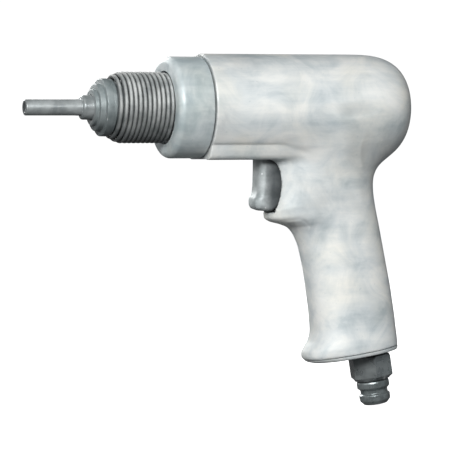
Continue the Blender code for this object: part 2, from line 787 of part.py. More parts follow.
def make_trigger_pin():
    x, z = PIVOT
    place = frame_at(x, PIN_Y[0], z, (0, 1, 0))
    length = PIN_Y[1] - PIN_Y[0]
    profile = [(0, 0), (0, PIN_R), (length, PIN_R), (length, 0)]
    return turned("trigger_pin", profile, place, "ground_steel", 12)


def make_throttle_stem():
    start, end = CHANNEL_FLOOR_X + 0.6, 158.0
    profile = [
        (start, 0),
        (start, STEM_ROD_R - 0.8),
        (start + 0.8, STEM_ROD_R),
        (end, STEM_ROD_R),
        (end, 0),
    ]
    return turned("throttle_stem", profile, THROTTLE_AXIS, "ground_steel", 16)


def make_throttle_bushing():
    """Guide of the stem, with a seal groove inside, an o-ring groove outside and a cross port."""
    start, end = BUSHING_X
    outer, bore, stem_bore = THROTTLE_BORE_R - GAP, 4.0, STEM_ROD_R + GAP
    ring_x, ring_floor = (153.6, 156.0), 5.4
    seal_x, chamber_x = (146.0, 148.2), 149.0
    profile = [
        (start, outer),
        (ring_x[0], outer),
        (ring_x[0], ring_floor),
        (ring_x[1], ring_floor),
        (ring_x[1], outer),
        (end, outer),
        (end, bore),
        (chamber_x, bore),
        (chamber_x, stem_bore),
        (seal_x[1], stem_bore),
        (seal_x[1], bore),
        (seal_x[0], bore),
        (seal_x[0], stem_bore),
        (start, stem_bore),
    ]
    bushing = turned(
        "throttle_bushing", profile, THROTTLE_AXIS, "fitting_steel", SMALL_ROUND, ring=True
    )
    port_x, reach = 151, 9
    ends = [(port_x, 0, THROTTLE_Z - reach), (port_x, 0, THROTTLE_Z + reach)]
    combine(bushing, drill("cut_bushing_port", *ends, 1.6, 12))
    o_ring("bushing_o_ring", 6.45, 0.75, sum(ring_x) / 2, THROTTLE_AXIS)
    o_ring("stem_seal", 3.25, 0.5, sum(seal_x) / 2, THROTTLE_AXIS)
    return bushing


def make_throttle_valve():
    start, face_end, end = BUSHING_X[1] + GAP, 160.8, 165.5
    profile = [(start, 0), (start, 5.4), (face_end, 5.4), (face_end, 2.0), (end, 2.0), (end, 0)]
    return turned("throttle_valve", profile, THROTTLE_AXIS, "rubber", SMALL_ROUND)


def make_throttle_spring():
    turns, steps_per_turn, wire_r, ring_r = 4.5, 8, 0.45, 4.0
    start, end = THROTTLE_SPRING_X
    count = round(turns * steps_per_turn)
    points = []
    for i in range(count + 1):
        angle = math.tau * i / steps_per_turn
        along = start + (end - start) * i / count
        points.append((along, ring_r * math.cos(angle), THROTTLE_Z + ring_r * math.sin(angle)))
    return helix("throttle_spring", points, wire_r, "spring_steel")


# ---- air inlet and regulator ----


def make_inlet_bushing():
    """Hexagonal bushing with a thread above it and the plug's socket below."""
    corner_r = HEX_ACROSS_FLATS / math.sqrt(3)
    thread_r, socket_r, screen_r, bore_r = 7.9, 6.4, 6.2, 4.5
    profile = [
        (-16.0, thread_r),
        (HEX_X[0], thread_r),
        (HEX_X[0], corner_r - 0.6),
        (HEX_X[0] + 0.4, corner_r + 0.3),
        (HEX_X[1] - 1.6, corner_r + 0.3),
        (HEX_X[1], 9.0),
        (HEX_X[1], socket_r),
        (3.0, socket_r),
        (3.0, bore_r),
        (-6.0, bore_r),
        (-6.0, screen_r),
        (-16.0, screen_r),
    ]
    bushing = turned("inlet_bushing", profile, INLET_AXIS, "fitting_steel", 24, ring=True)
    prism = [(-20, 0), (-20, corner_r), (20, corner_r), (20, 0)]
    combine(bushing, turned("keep_hex", prism, INLET_AXIS, None, 6), "INTERSECT")
    return bushing


def make_inlet_screen():
    open_x, floor_x, outer, wall = -6.4, -15.2, 5.9, 0.7
    profile = [
        (floor_x, 0),
        (floor_x, outer),
        (open_x, outer),
        (open_x, outer - wall),
        (floor_x + wall, outer - wall),
        (floor_x + wall, 0),
    ]
    return turned("inlet_screen", profile, INLET_AXIS, "brass", SMALL_ROUND)


def make_hose_plug():
    """Ribbed plug of a quick coupler, open right through for the air."""
    inner_x, spigot_r = 4.0, 6.0
    start = HEX_X[1] + GAP
    profile = [
        (inner_x, spigot_r),
        (start, spigot_r),
        (start, 8.1),
        (start + 0.9, 8.8),
        (start + 3.7, 8.8),
        (start + 4.7, 8.1),
        (start + 5.1, 7.3),
        (start + 6.7, 7.3),
        (start + 7.3, 7.9),
        (start + 8.5, 8.3),
        (start + 10.5, 8.1),
        (start + 12.1, 7.0),
        (start + 12.9, 5.7),
        (start + 12.9, PLUG_BORE_R),
        (inner_x, PLUG_BORE_R),
    ]
    return turned("hose_plug", profile, INLET_AXIS, "fitting_steel", 24, ring=True)


def make_inlet_washer():
    return tube_ring("inlet_washer", 8.5, 10.4, GAP, 1.5, INLET_AXIS, "rubber", 32)


def make_regulator():
    """Rotary valve across the air passage, turned with a screwdriver from the right side."""
    groove_y, head_y, end_y = (9.2, 11.6), 14.2, 16.7
    spool = [
        (-6.5, 0),
        (-6.5, REGULATOR_R),
        (groove_y[0], REGULATOR_R),
        (groove_y[0], 3.6),
        (groove_y[1], 3.6),
        (groove_y[1], REGULATOR_R),
        (head_y, REGULATOR_R),
        (head_y, 3.0),
        (end_y, 3.0),
        (end_y, 0),
    ]
    valve = turned("regulator_valve", spool, REGULATOR_AXIS, "brass", SMALL_ROUND)
    passage = Vector(AIR_CHAMBER) - grip_point(GRIP_LENGTH - 19, INLET_OFFSET)
    middle = Vector((REGULATOR[0], 0, REGULATOR[1]))
    step = passage.normalized() * 8
    combine(valve, drill("cut_regulator_port", middle - step, middle + step, 3.2, 16))
    combine(valve, box("cut_regulator_slot", (-0.5, -4, 15.5), (0.5, 4, 18), REGULATOR_AXIS))
    o_ring("regulator_o_ring", 4.45, 0.55, sum(groove_y) / 2, REGULATOR_AXIS)
    ring = tube_ring(
        "regulator_snap_ring", 3.4, 5.9, 14.8, 15.8, REGULATOR_AXIS, "spring_steel", SMALL_ROUND
    )
    combine(ring, box("cut_ring_gap", (-1.2, 2, 14), (1.2, 8, 17), REGULATOR_AXIS))


def make_barrel_assembly():
    barrel = make_barrel()
    cut_dowel_holes(barrel)
    make_dowels()
    make_valve_case()
    make_valve_spool()
    make_valve_cap()
    make_recoil_pad()
    make_seat_ring()
    make_piston()


def main():
    make_rivet_set()
    make_retainer_cap()
    make_retainer_spring()
    make_deflector()
    make_snap_ring()
    make_barrel_assembly()
    make_housing()
    make_base_plate()
    make_trigger()
    make_trigger_pin()
    make_throttle_stem()
    make_throttle_bushing()
    make_throttle_valve()
    make_throttle_spring()
    make_inlet_washer()
    make_inlet_bushing()
    make_inlet_screen()
    make_hose_plug()
    make_regulator()


main()
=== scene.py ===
"""Rivet hammer: fine surfaces, materials, floor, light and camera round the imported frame.

Lengths inside the modelling functions are millimetres in the row frame: x back from the cup of
the rivet set along the hammer axis, y to the tool's right and z up.
"""

import json
import math

import bmesh
import bpy
import numpy as np
from mathutils import Matrix, Vector


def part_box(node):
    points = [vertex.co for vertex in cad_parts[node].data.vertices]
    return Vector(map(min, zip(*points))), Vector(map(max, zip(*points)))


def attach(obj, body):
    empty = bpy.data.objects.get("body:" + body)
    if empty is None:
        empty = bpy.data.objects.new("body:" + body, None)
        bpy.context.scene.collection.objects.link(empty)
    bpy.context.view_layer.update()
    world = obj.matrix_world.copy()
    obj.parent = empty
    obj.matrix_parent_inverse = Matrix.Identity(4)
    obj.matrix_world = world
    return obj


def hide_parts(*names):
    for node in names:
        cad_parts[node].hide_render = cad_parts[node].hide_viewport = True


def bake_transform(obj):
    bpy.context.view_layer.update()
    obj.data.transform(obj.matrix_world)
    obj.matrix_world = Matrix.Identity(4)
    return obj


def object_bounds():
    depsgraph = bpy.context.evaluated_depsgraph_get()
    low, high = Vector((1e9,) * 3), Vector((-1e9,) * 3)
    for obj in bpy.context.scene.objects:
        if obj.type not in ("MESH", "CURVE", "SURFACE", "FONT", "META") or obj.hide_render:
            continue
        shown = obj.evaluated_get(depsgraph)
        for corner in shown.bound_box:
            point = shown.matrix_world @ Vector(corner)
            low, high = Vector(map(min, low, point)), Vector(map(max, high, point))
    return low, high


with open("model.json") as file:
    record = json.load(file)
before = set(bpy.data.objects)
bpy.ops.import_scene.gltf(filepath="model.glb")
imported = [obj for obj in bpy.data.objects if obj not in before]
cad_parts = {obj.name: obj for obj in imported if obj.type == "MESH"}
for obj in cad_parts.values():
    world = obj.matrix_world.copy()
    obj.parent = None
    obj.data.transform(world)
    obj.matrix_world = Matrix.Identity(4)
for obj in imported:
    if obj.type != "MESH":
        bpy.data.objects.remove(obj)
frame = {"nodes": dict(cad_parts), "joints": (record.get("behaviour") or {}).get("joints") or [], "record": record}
bounds_at_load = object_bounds()
MM = 0.001


# ---- where things are ----


def box_mm(node):
    low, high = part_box(node)
    return np.array(low) / MM, np.array(high) / MM


def middle_mm(node):
    low, high = box_mm(node)
    return (low + high) / 2


def joint_place(name):
    return np.array(next(j["pos_m"] for j in frame["joints"] if j["name"] == name)) / MM


def mount(name):
    return next(m for m in frame["record"]["mounts"] if m["name"] == name)


HOUSING_LOW, HOUSING_HIGH = box_mm("main_housing")
FRONT_X = HOUSING_LOW[0]
REAR_X = HOUSING_HIGH[0]
BODY_R = HOUSING_HIGH[2]
DOWN = np.array(mount("hose_plug_end")["axis"])
DOWN /= np.linalg.norm(DOWN)
BACK = np.array([-DOWN[2], 0.0, DOWN[0]])
WASHER_DEPTH = 0.9  # of the middle of the inlet's washer below the foot of the grip
INLET = middle_mm("inlet_washer") - DOWN * WASHER_DEPTH
INLET_BACK = 7.5  # how far the inlet lies behind the grip's axis
GRIP_LENGTH = 114.0
GRIP_TOP = INLET - BACK * INLET_BACK - DOWN * GRIP_LENGTH
PIVOT = joint_place("trigger_pull")
REGULATOR = joint_place("regulator_turn")


# ---- mesh tools ----


def link(name, mesh):
    obj = bpy.data.objects.new(name, mesh)
    bpy.context.scene.collection.objects.link(obj)
    return obj


def mesh_of_quads(name, points, quads, smooth_angle=None):
    """Points in millimetres."""
    mesh = bpy.data.meshes.new(name)
    mesh.vertices.add(len(points))
    mesh.vertices.foreach_set("co", (np.asarray(points) * MM).astype(np.float32).ravel())
    mesh.loops.add(quads.size)
    mesh.loops.foreach_set("vertex_index", quads.astype(np.int32).ravel())
    mesh.polygons.add(len(quads))
    mesh.polygons.foreach_set("loop_start", np.arange(0, quads.size, 4, dtype=np.int32))
    mesh.update(calc_edges=True)
    mesh.validate()
    mesh.shade_smooth()
    if smooth_angle:
        mesh.set_sharp_from_angle(angle=math.radians(smooth_angle))
    return link(name, mesh)


def corner_values(values, axis):
    """The values at the two ends of every grid edge along one axis."""
    first = [slice(None)] * 3
    second = [slice(None)] * 3
    first[axis] = slice(0, -1)
    second[axis] = slice(1, None)
    return values[tuple(first)], values[tuple(second)]


def surface_net(field, low, high, cell):
    """Points and quads of the surface where field crosses zero. field is negative inside."""
    grids = [np.arange(a, b + cell, cell) for a, b in zip(low, high)]
    values = field(*np.meshgrid(*grids, indexing="ij"))
    cells = np.array(values.shape) - 1
    total = np.zeros((*cells, 3))
    count = np.zeros(cells, int)
    crossings = []
    for axis in range(3):
        start, end = corner_values(values, axis)
        cross = (start < 0) != (end < 0)
        with np.errstate(divide="ignore", invalid="ignore"):
            share = np.where(cross, start / (start - end), 0.0)
        crossings.append((cross, start < 0))
        u, v = [a for a in range(3) if a != axis]
        for du in (0, 1):
            for dv in (0, 1):
                pick = [slice(0, cells[0]), slice(0, cells[1]), slice(0, cells[2])]
                pick[u] = slice(du, du + cells[u])
                pick[v] = slice(dv, dv + cells[v])
                hit = cross[tuple(pick)]
                count += hit
                total[..., axis] += share[tuple(pick)] * hit
                total[..., u] += du * hit
                total[..., v] += dv * hit
    used = np.argwhere(count > 0)
    index = np.full(cells, -1)
    index[tuple(used.T)] = np.arange(len(used))
    inside_cell = total[tuple(used.T)] / count[tuple(used.T)][:, None]
    points = np.array(low) + (used + inside_cell) * cell
    quads = []
    for axis, (cross, starts_inside) in enumerate(crossings):
        u, v = [a for a in range(3) if a != axis]
        at = np.argwhere(cross)
        at = at[(at[:, u] > 0) & (at[:, v] > 0) & (at[:, u] < cells[u]) & (at[:, v] < cells[v])]
        ring = []
        for du, dv in ((-1, -1), (0, -1), (0, 0), (-1, 0)):
            shifted = at.copy()
            shifted[:, u] += du
            shifted[:, v] += dv
            ring.append(index[tuple(shifted.T)])
        quad = np.stack(ring, axis=1)
        flip = starts_inside[tuple(at.T)] == (axis == 1)
        quad[flip] = quad[flip][:, ::-1]
        quads.append(quad)
    return settle(field, points), np.concatenate(quads)


def settle(field, points, rounds=4):
    """Moves the points on to the surface itself."""
    step = 0.02
    for _ in range(rounds):
        value = field(*points.T)
        slope = np.stack(
            [
                (field(*(points + step * e).T) - field(*(points - step * e).T)) / (2 * step)
                for e in np.eye(3)
            ],
            axis=1,
        )
        size = np.maximum((slope**2).sum(axis=1), 0.05)
        move = (value / size)[:, None] * slope
        length = np.linalg.norm(move, axis=1)[:, None]
        points = points - move * np.minimum(1.0, 0.3 / np.maximum(length, 1e-9))
    return points


def union(a, b, blend):
    """The smaller of two fields, rounded where they meet so that no edge shows in its shading."""
    width = 1.4 * blend
    near = np.maximum(width - np.abs(a - b), 0) / width
    return np.minimum(a, b) - near**3 * width / 6


def cut(a, b, blend):
    """Field a with the inside of field b taken away."""
    return -union(-a, b, blend)


def ramp(x, start, end):
    t = np.clip((x - start) / (end - start), 0, 1)
    return t * t * (3 - 2 * t)


def box_field(x, y, z, low, high, round_off=0.0):
    centre = (np.array(low) + np.array(high)) / 2
    half = (np.array(high) - np.array(low)) / 2 - round_off
    q = [np.abs(p - c) - h for p, c, h in zip((x, y, z), centre, half)]
    outside = np.sqrt(sum(np.maximum(p, 0) ** 2 for p in q))
    return outside + np.minimum(np.maximum(np.maximum(q[0], q[1]), q[2]), 0) - round_off


def rod_field(x, y, z, start, direction, radius, length):
    """A straight round hole or rod with square ends."""
    px, py, pz = x - start[0], y - start[1], z - start[2]
    along = px * direction[0] + py * direction[1] + pz * direction[2]
    off = np.sqrt(np.maximum(px**2 + py**2 + pz**2 - along**2, 0))
    return np.maximum(off - radius, np.maximum(-along, along - length))


def filleted(corners, steps=6):
    """A polyline through (along, radius, fillet) corners, with each fillet as an arc."""
    out = []
    for i, (a, r, *fillet) in enumerate(corners):
        size = fillet[0] if fillet else 0
        here = np.array([a, r], float)
        if not size or i in (0, len(corners) - 1):
            out.append(here)
            continue
        back = np.array(corners[i - 1][:2], float) - here
        on = np.array(corners[i + 1][:2], float) - here
        back_length, on_length = np.linalg.norm(back), np.linalg.norm(on)
        back, on = back / back_length, on / on_length
        angle = math.acos(max(-1.0, min(1.0, float(back @ on))))
        reach = min(size / math.tan(angle / 2), back_length * 0.49, on_length * 0.49)
        radius = reach * math.tan(angle / 2)
        centre = here + (back + on) / np.linalg.norm(back + on) * radius / math.sin(angle / 2)
        first, last = here + back * reach - centre, here + on * reach - centre
        turn = math.pi - angle
        side = math.copysign(1, first[0] * last[1] - first[1] * last[0])
        for k in range(steps + 1):
            t = side * turn * k / steps
            c, s = math.cos(t), math.sin(t)
            out.append(centre + np.array([c * first[0] - s * first[1], s * first[0] + c * first[1]]))
    return out


def axis_frame(point, direction):
    """Origin and three unit vectors in millimetres: two across the direction, and itself."""
    z = np.array(direction, float)
    z /= np.linalg.norm(z)
    side = np.array([0.0, 1.0, 0.0]) if abs(z[1]) < 0.9 else np.array([1.0, 0.0, 0.0])
    x = np.cross(side, z)
    x /= np.linalg.norm(x)
    return np.array(point, float), x, np.cross(z, x), z


def lathe(name, corners, place, segments=128, ring=False, radius_at=None, steps=6, sharp=40):
    """Turns a profile of (along, radius, fillet) corners. A ring's profile closes on itself."""
    profile = filleted(list(corners) + ([corners[0]] if ring else []), steps)
    if ring:
        profile = profile[:-1]
    origin, x, y, z = place
    bm = bmesh.new()
    loops = []
    for along, r in profile:
        if r < 1e-6:
            loops.append([bm.verts.new(Vector((origin + z * along) * MM))])
            continue
        loop = []
        for k in range(segments):
            t = math.tau * k / segments
            reach = radius_at(along, r, t) if radius_at else r
            point = origin + z * along + (x * math.cos(t) + y * math.sin(t)) * reach
            loop.append(bm.verts.new(Vector(point * MM)))
        loops.append(loop)
    pairs = list(zip(loops, loops[1:]))
    if ring:
        pairs.append((loops[-1], loops[0]))
    for a, b in pairs:
        for k in range(segments):
            n = (k + 1) % segments
            if len(a) == 1 and len(b) == 1:
                continue
            if len(a) == 1:
                bm.faces.new((a[0], b[k], b[n]))
            elif len(b) == 1:
                bm.faces.new((a[k], b[0], a[n]))
            else:
                bm.faces.new((a[k], b[k], b[n], a[n]))
    bmesh.ops.recalc_face_normals(bm, faces=bm.faces)
    mesh = bpy.data.meshes.new(name)
    bm.to_mesh(mesh)
    bm.free()
    mesh.shade_smooth()
    mesh.set_sharp_from_angle(angle=math.radians(sharp))
    return link(name, mesh)


def sweep(name, path, radii, sides=16, axis_z=0.0):
    """A round wire coiled along a path round a line at axis_z, closed at both ends."""
    path = np.array(path, float)
    tangent = np.gradient(path, axis=0)
    tangent /= np.linalg.norm(tangent, axis=1)[:, None]
    out = path - np.array((0, 0, axis_z))
    out[:, 0] = 0
    out -= (out * tangent).sum(axis=1)[:, None] * tangent
    out /= np.linalg.norm(out, axis=1)[:, None]
    across = np.cross(tangent, out)
    angles = np.linspace(0, math.tau, sides, endpoint=False)
    rings = (
        path[:, None, :]
        + np.cos(angles)[None, :, None] * out[:, None, :] * np.array(radii)[:, None, None]
        + np.sin(angles)[None, :, None] * across[:, None, :] * np.array(radii)[:, None, None]
    )
    bm = bmesh.new()
    loops = [[bm.verts.new(Vector(p * MM)) for p in ring] for ring in rings]
    for a, b in zip(loops, loops[1:]):
        for k in range(sides):
            n = (k + 1) % sides
            bm.faces.new((a[k], a[n], b[n], b[k]))
    bm.faces.new(loops[0][::-1])
    bm.faces.new(loops[-1])
    bmesh.ops.recalc_face_normals(bm, faces=bm.faces)
    mesh = bpy.data.meshes.new(name)
    bm.to_mesh(mesh)
    bm.free()
    mesh.shade_smooth()
    mesh.set_sharp_from_angle(angle=math.radians(50))
    crest = mesh.attributes.new("crest", "FLOAT", "POINT")
    crest.data.foreach_set("value", np.tile(np.cos(angles), len(path)).astype(np.float32))
    return link(name, mesh)


def subtract(obj, cutter):
    """Takes the cutter's shape out of obj for good, then removes the cutter."""
    modifier = obj.modifiers.new("Cut", "BOOLEAN")
    modifier.operation = "DIFFERENCE"
    modifier.object = cutter
    modifier.solver = "EXACT"
    graph = bpy.context.evaluated_depsgraph_get()
    mesh = bpy.data.meshes.new_from_object(obj.evaluated_get(graph))
    obj.modifiers.remove(modifier)
    old = obj.data
    obj.data = mesh
    mesh.name = obj.name
    bpy.data.meshes.remove(old)
    bpy.data.objects.remove(cutter)


def block(name, low, high, place=None):
    """A plain box cutter in millimetres."""
    low, high = np.array(low, float), np.array(high, float)
    bm = bmesh.new()
    bmesh.ops.create_cube(bm, size=1.0)
    for v in bm.verts:
        v.co = Vector(((np.array(v.co) + 0.5) * (high - low) + low) * MM)
    mesh = bpy.data.meshes.new(name)
    bm.to_mesh(mesh)
    bm.free()
    obj = link(name, mesh)
    if place is not None:
        origin, x, y, z = place
        turn = Matrix(np.stack([x, y, z], axis=1).tolist()).to_4x4()
        obj.matrix_world = Matrix.Translation(Vector(origin * MM)) @ turn
        bpy.context.view_layer.update()
    return obj


HAMMER_AXIS = axis_frame((0, 0, 0), (1, 0, 0))
INLET_AXIS = axis_frame(INLET, DOWN)


# ---- housing ----

DOME_X = 178.5
DOME_LENGTH = REAR_X - 0.1 - DOME_X
DOME_POWER = 3.1
KEEL_HALF = 20.3
KEEL_Z = -27.5
KEEL_EDGE = 2.6
KEEL_TOP_Z = -14.0
KEEL_REAR_X = 172.0
PLATE_THICKNESS = 1.8
PLATE_SEAM = 0.3
PLATE_TOP = GRIP_LENGTH - PLATE_THICKNESS - PLATE_SEAM
PLATE_SCREW_FRONT = 20.5  # ahead of the grip's axis
# The trigger's pocket, open to the front and below.
POCKET_LOW = (112, -8.4, -55.6)
POCKET_HIGH = (144.3, 8.4, -21.6)
# Start, direction, radius and length of each round hole in the casting.
BORES = (
    ((FRONT_X - 5, 0, 0), (1, 0, 0), 24.1, 19.3),  # seat of the nose
    ((FRONT_X, 0, 0), (1, 0, 0), 20.1, 98.3),  # barrel and valve case
    ((142, 0, -43), (1, 0, 0), 7.6, 31),  # throttle
    (INLET - DOWN * 20, DOWN, 8.3, 30),  # air inlet
    (PIVOT - np.array([0, 14, 0]), (0, 1, 0), 1.6, 48.5),  # trigger pin
    (REGULATOR - np.array([0, 7, 0]), (0, 1, 0), 6.2, 50),  # regulator
)

# Length down the grip, front reach, rear reach, half width, squareness of the front.
GRIP_SECTIONS = np.array(
    (
        (-10.0, 36.0, 29.5, 17.0, 2.4),
        (0.0, 37.6, 29.0, 17.6, 2.4),
        (2.0, 36.9, 28.3, 17.9, 2.4),
        (6.0, 34.4, 27.2, 18.2, 2.4),
        (10.5, 33.4, 25.3, 18.4, 2.4),
        (16.5, 34.0, 23.1, 18.2, 2.4),
        (22.0, 35.5, 22.1, 18.0, 2.5),
        (26.5, 37.2, 21.8, 17.8, 2.75),
        (29.5, 38.9, 21.7, 17.6, 2.9),
        (32.8, 38.9, 21.75, 17.5, 2.9),
        (35.4, 36.6, 21.8, 17.4, 2.85),
        (37.8, 31.2, 21.9, 17.3, 2.7),
        (40.5, 26.9, 22.0, 17.3, 2.45),
        (45.0, 24.4, 22.3, 17.3, 2.25),
        (52.0, 22.7, 22.6, 17.3, 2.2),
        (67.0, 21.7, 23.2, 17.5, 2.2),
        (83.0, 21.8, 23.8, 17.6, 2.3),
        (96.0, 22.5, 23.8, 17.7, 2.35),
        (102.0, 24.6, 23.5, 18.0, 2.35),
        (105.5, 27.6, 23.4, 18.3, 2.35),
        (108.0, 29.4, 23.3, 18.5, 2.35),
        (110.0, 29.7, 23.2, 18.5, 2.35),
        (112.0, 28.7, 23.1, 18.4, 2.35),
        (113.3, 27.1, 22.9, 18.2, 2.35),
        (GRIP_LENGTH, 25.1, 22.4, 17.8, 2.35),
    )
)
SECTION_POWER = 2.35


def smooth_table(x, table_x, table_y):
    """A smooth curve through a table that never overshoots it."""
    step = np.diff(table_x)
    slope = np.diff(table_y) / step
    same = slope[:-1] * slope[1:] > 0
    total = np.where(same, slope[:-1] + slope[1:], 1.0)
    inner = np.where(same, 2 * slope[:-1] * slope[1:] / total, 0.0)
    grade = np.concatenate([[slope[0]], inner, [slope[-1]]])
    i = np.clip(np.searchsorted(table_x, x) - 1, 0, len(step) - 1)
    t = np.clip((x - table_x[i]) / step[i], 0, 1)
    a, b = table_y[i], table_y[i + 1]
    c, d = grade[i] * step[i], grade[i + 1] * step[i]
    return a + t * c + t**2 * (3 * (b - a) - 2 * c - d) + t**3 * (2 * (a - b) + c + d)


def grip_coordinates(x, y, z):
    px, pz = x - GRIP_TOP[0], z - GRIP_TOP[2]
    return px * DOWN[0] + pz * DOWN[2], px * BACK[0] + pz * BACK[2]


def grip_field(x, y, z):
    along, back = grip_coordinates(x, y, z)
    front, rear, half, squareness = (
        smooth_table(along, GRIP_SECTIONS[:, 0], GRIP_SECTIONS[:, k]) for k in (1, 2, 3, 4)
    )
    reach = np.where(back < 0, front, rear)
    power = SECTION_POWER + (squareness - SECTION_POWER) * ramp(-back, 0, 12)
    size = ((np.abs(back) / reach) ** power + (np.abs(y) / half) ** power) ** (1 / power)
    weight = (back / reach) ** 2 / np.maximum(size, 1e-6) ** 2
    scale = half * (1 - np.minimum(weight, 1)) + reach * np.minimum(weight, 1)
    return (size - 1) * scale


def crease_line(x, difference):
    """A thin line where the round body meets the keel. It fades out above the grip."""
    return np.exp(-((difference / 0.8) ** 2)) * ramp(-x, -160, -140)


def lobe_line(along, back):
    """The line on each flank where the lobe below the trigger runs into the grip."""
    path = 35.4 + 0.12 * np.maximum(back + 27, 0) ** 2
    return np.exp(-(((along - path) / 0.8) ** 2)) * ramp(-back, 18, 22) * ramp(back, -37, -33)


def rounded_corner(a, b, edge):
    """Where two fields are both negative, with the corner between them rounded."""
    return (
        np.hypot(np.maximum(a + edge, 0), np.maximum(b + edge, 0))
        + np.minimum(np.maximum(a + edge, b + edge), 0)
        - edge
    )


def shell_field(x, y, z):
    """The round body with its blunt dome, flattened underneath."""
    over = np.maximum(x - DOME_X, 0) / DOME_LENGTH
    out = np.hypot(y, z) / BODY_R
    shell = ((over**DOME_POWER + out**DOME_POWER) ** (1 / DOME_POWER) - 1) * BODY_R
    return cut(shell, z - KEEL_Z, 1.5)


def keel_field(x, y, z):
    """The flat-sided ridge under the barrel. It narrows downwards and above the grip."""
    half = KEEL_HALF - 2.5 * ramp(x, 132, 160) - 0.5 * np.maximum(-20 - z, 0)
    keel = rounded_corner(np.abs(y) - half, -z + KEEL_Z, KEEL_EDGE)
    return np.maximum(np.maximum(keel, z - KEEL_TOP_Z), x - KEEL_REAR_X)


def housing_field(x, y, z):
    shell, keel = shell_field(x, y, z), keel_field(x, y, z)
    body = union(shell, keel, 0.5 + 9.0 * ramp(x, 130, 158))
    body = body + 0.4 * crease_line(x, shell - keel)
    grip = grip_field(x, y, z)
    along, back = grip_coordinates(x, y, z)
    grip = cut(grip, along + 8, 8.0)
    blend = 3.5 + 13.5 * ramp(back, -24, 4)
    body = union(body, grip, blend)
    body = body + 0.35 * lobe_line(along, back)
    body = cut(body, x - FRONT_X, 0.7)
    body = cut(body, PLATE_TOP - along, 0.6)
    body = cut(body, box_field(x, y, z, POCKET_LOW, POCKET_HIGH, 0.6), 0.9)
    for bore in BORES:
        body = cut(body, rod_field(x, y, z, *bore), 0.25)
    return body


def around_housing(x, y, z):
    """The casting together with what stands close to it, which also shades it."""
    collar = np.maximum(np.hypot(y, z) - 26.8, x - FRONT_X + 0.4)
    lever = np.maximum(np.abs(y) - TRIGGER_HALF, np.maximum(x - 139, -54 - z))
    lever = np.maximum(lever, np.maximum(126 - x, z + 24))
    return np.minimum(housing_field(x, y, z), np.minimum(collar, lever))


def shelter(field, obj):
    """Stores at every point of obj how far it lies down in a crease: 0 in the open, 1 deep in."""
    mesh = obj.data
    count = len(mesh.vertices)
    places, normals = np.empty(count * 3), np.empty(count * 3)
    mesh.vertices.foreach_get("co", places)
    mesh.vertices.foreach_get("normal", normals)
    places, normals = places.reshape(-1, 3) / MM, normals.reshape(-1, 3)
    total = np.zeros(count)
    for reach in (0.7, 1.4, 2.8, 5.0):
        total += np.clip(1 - field(*(places + normals * reach).T) / reach, 0, 1)
    stored = mesh.attributes.new("shelter", "FLOAT", "POINT")
    stored.data.foreach_set("value", (total / 4).astype(np.float32))


def make_housing(finish):
    low = HOUSING_LOW - 1.7
    high = HOUSING_HIGH + 1.7
    points, quads = surface_net(housing_field, low, high, 0.7)
    points = np.clip(points, HOUSING_LOW + 0.02, HOUSING_HIGH - 0.02)
    housing = mesh_of_quads("housing_casting", points, quads, 48)
    shelter(around_housing, housing)
    dress(housing, finish, "housing", "casting", "main_housing")


def grip_outline(along, grow, count=160):
    """The grip's outline this far down it, as (behind, to the right) pairs."""
    front, rear, half = (
        float(smooth_table(along, GRIP_SECTIONS[:, 0], GRIP_SECTIONS[:, k])) for k in (1, 2, 3)
    )
    power = 2 / SECTION_POWER
    out = []
    for k in range(count):
        t = math.tau * k / count
        c, s = math.cos(t), math.sin(t)
        reach = rear if c > 0 else front
        back = math.copysign(abs(c) ** power, c) * (reach + grow)
        out.append((back, math.copysign(abs(s) ** power, s) * (half + grow)))
    return out


def make_base_plate(finish, screw_finish):
    """The foot's clamped plate, which carries the casting's rounded edge on down."""
    levels = [(0, -1.6), (0, -0.25), (0.12, -0.08)]
    levels += [(0.12 + 0.14 * k, -0.05) for k in range(1, 12)]
    levels += [(PLATE_THICKNESS - 0.06, -0.2), (PLATE_THICKNESS, -0.5), (PLATE_THICKNESS, -1.8)]
    bm = bmesh.new()
    loops = []
    for depth, grow in levels:
        loop = []
        along = GRIP_LENGTH - PLATE_THICKNESS + depth
        for back, side in grip_outline(along, grow):
            point = GRIP_TOP + DOWN * along + BACK * back
            point[1] = side
            loop.append(bm.verts.new(Vector(point * MM)))
        loops.append(loop)
    count = len(loops[0])
    for a, b in zip(loops, loops[1:]):
        for k in range(count):
            n = (k + 1) % count
            bm.faces.new((a[k], a[n], b[n], b[k]))
    bm.faces.new(loops[0])
    bm.faces.new(loops[-1])
    bmesh.ops.recalc_face_normals(bm, faces=bm.faces)
    mesh = bpy.data.meshes.new("base_plate")
    bm.to_mesh(mesh)
    bm.free()
    mesh.shade_smooth()
    plate = link("base_plate", mesh)
    hole = lathe("cut_inlet", [(-4, 0), (-4, 8.2), (4, 8.2), (4, 0)], INLET_AXIS, 64)
    subtract(plate, hole)
    at = axis_frame(GRIP_TOP + DOWN * GRIP_LENGTH - BACK * PLATE_SCREW_FRONT, DOWN)
    profile = [(-4, 0), (-4, 1.8), (-1.5, 1.8), (0.2, 3.5), (1, 3.5), (1, 0)]
    subtract(plate, lathe("cut_screw", profile, at, 64))
    plate.data.set_sharp_from_angle(angle=math.radians(35))
    dress(plate, finish, "housing", "casting", "grip_base_plate")
    profile = [(-9.5, 0), (-9.5, 1.5, 0.3), (-1.5, 1.5, 0.1), (-0.15, 2.8, 0.15), (-0.15, 0)]
    screw = lathe("base_screw", profile, at, 64)
    subtract(screw, block("cut_slot", (-5, -0.4, -1.0), (5, 0.4, 1.0), at))
    screw.data.set_sharp_from_angle(angle=math.radians(35))
    dress(screw, screw_finish, "housing", "fitting_steel", "base_plate_screw")


# ---- trigger ----

TRIGGER_HALF = 8.0
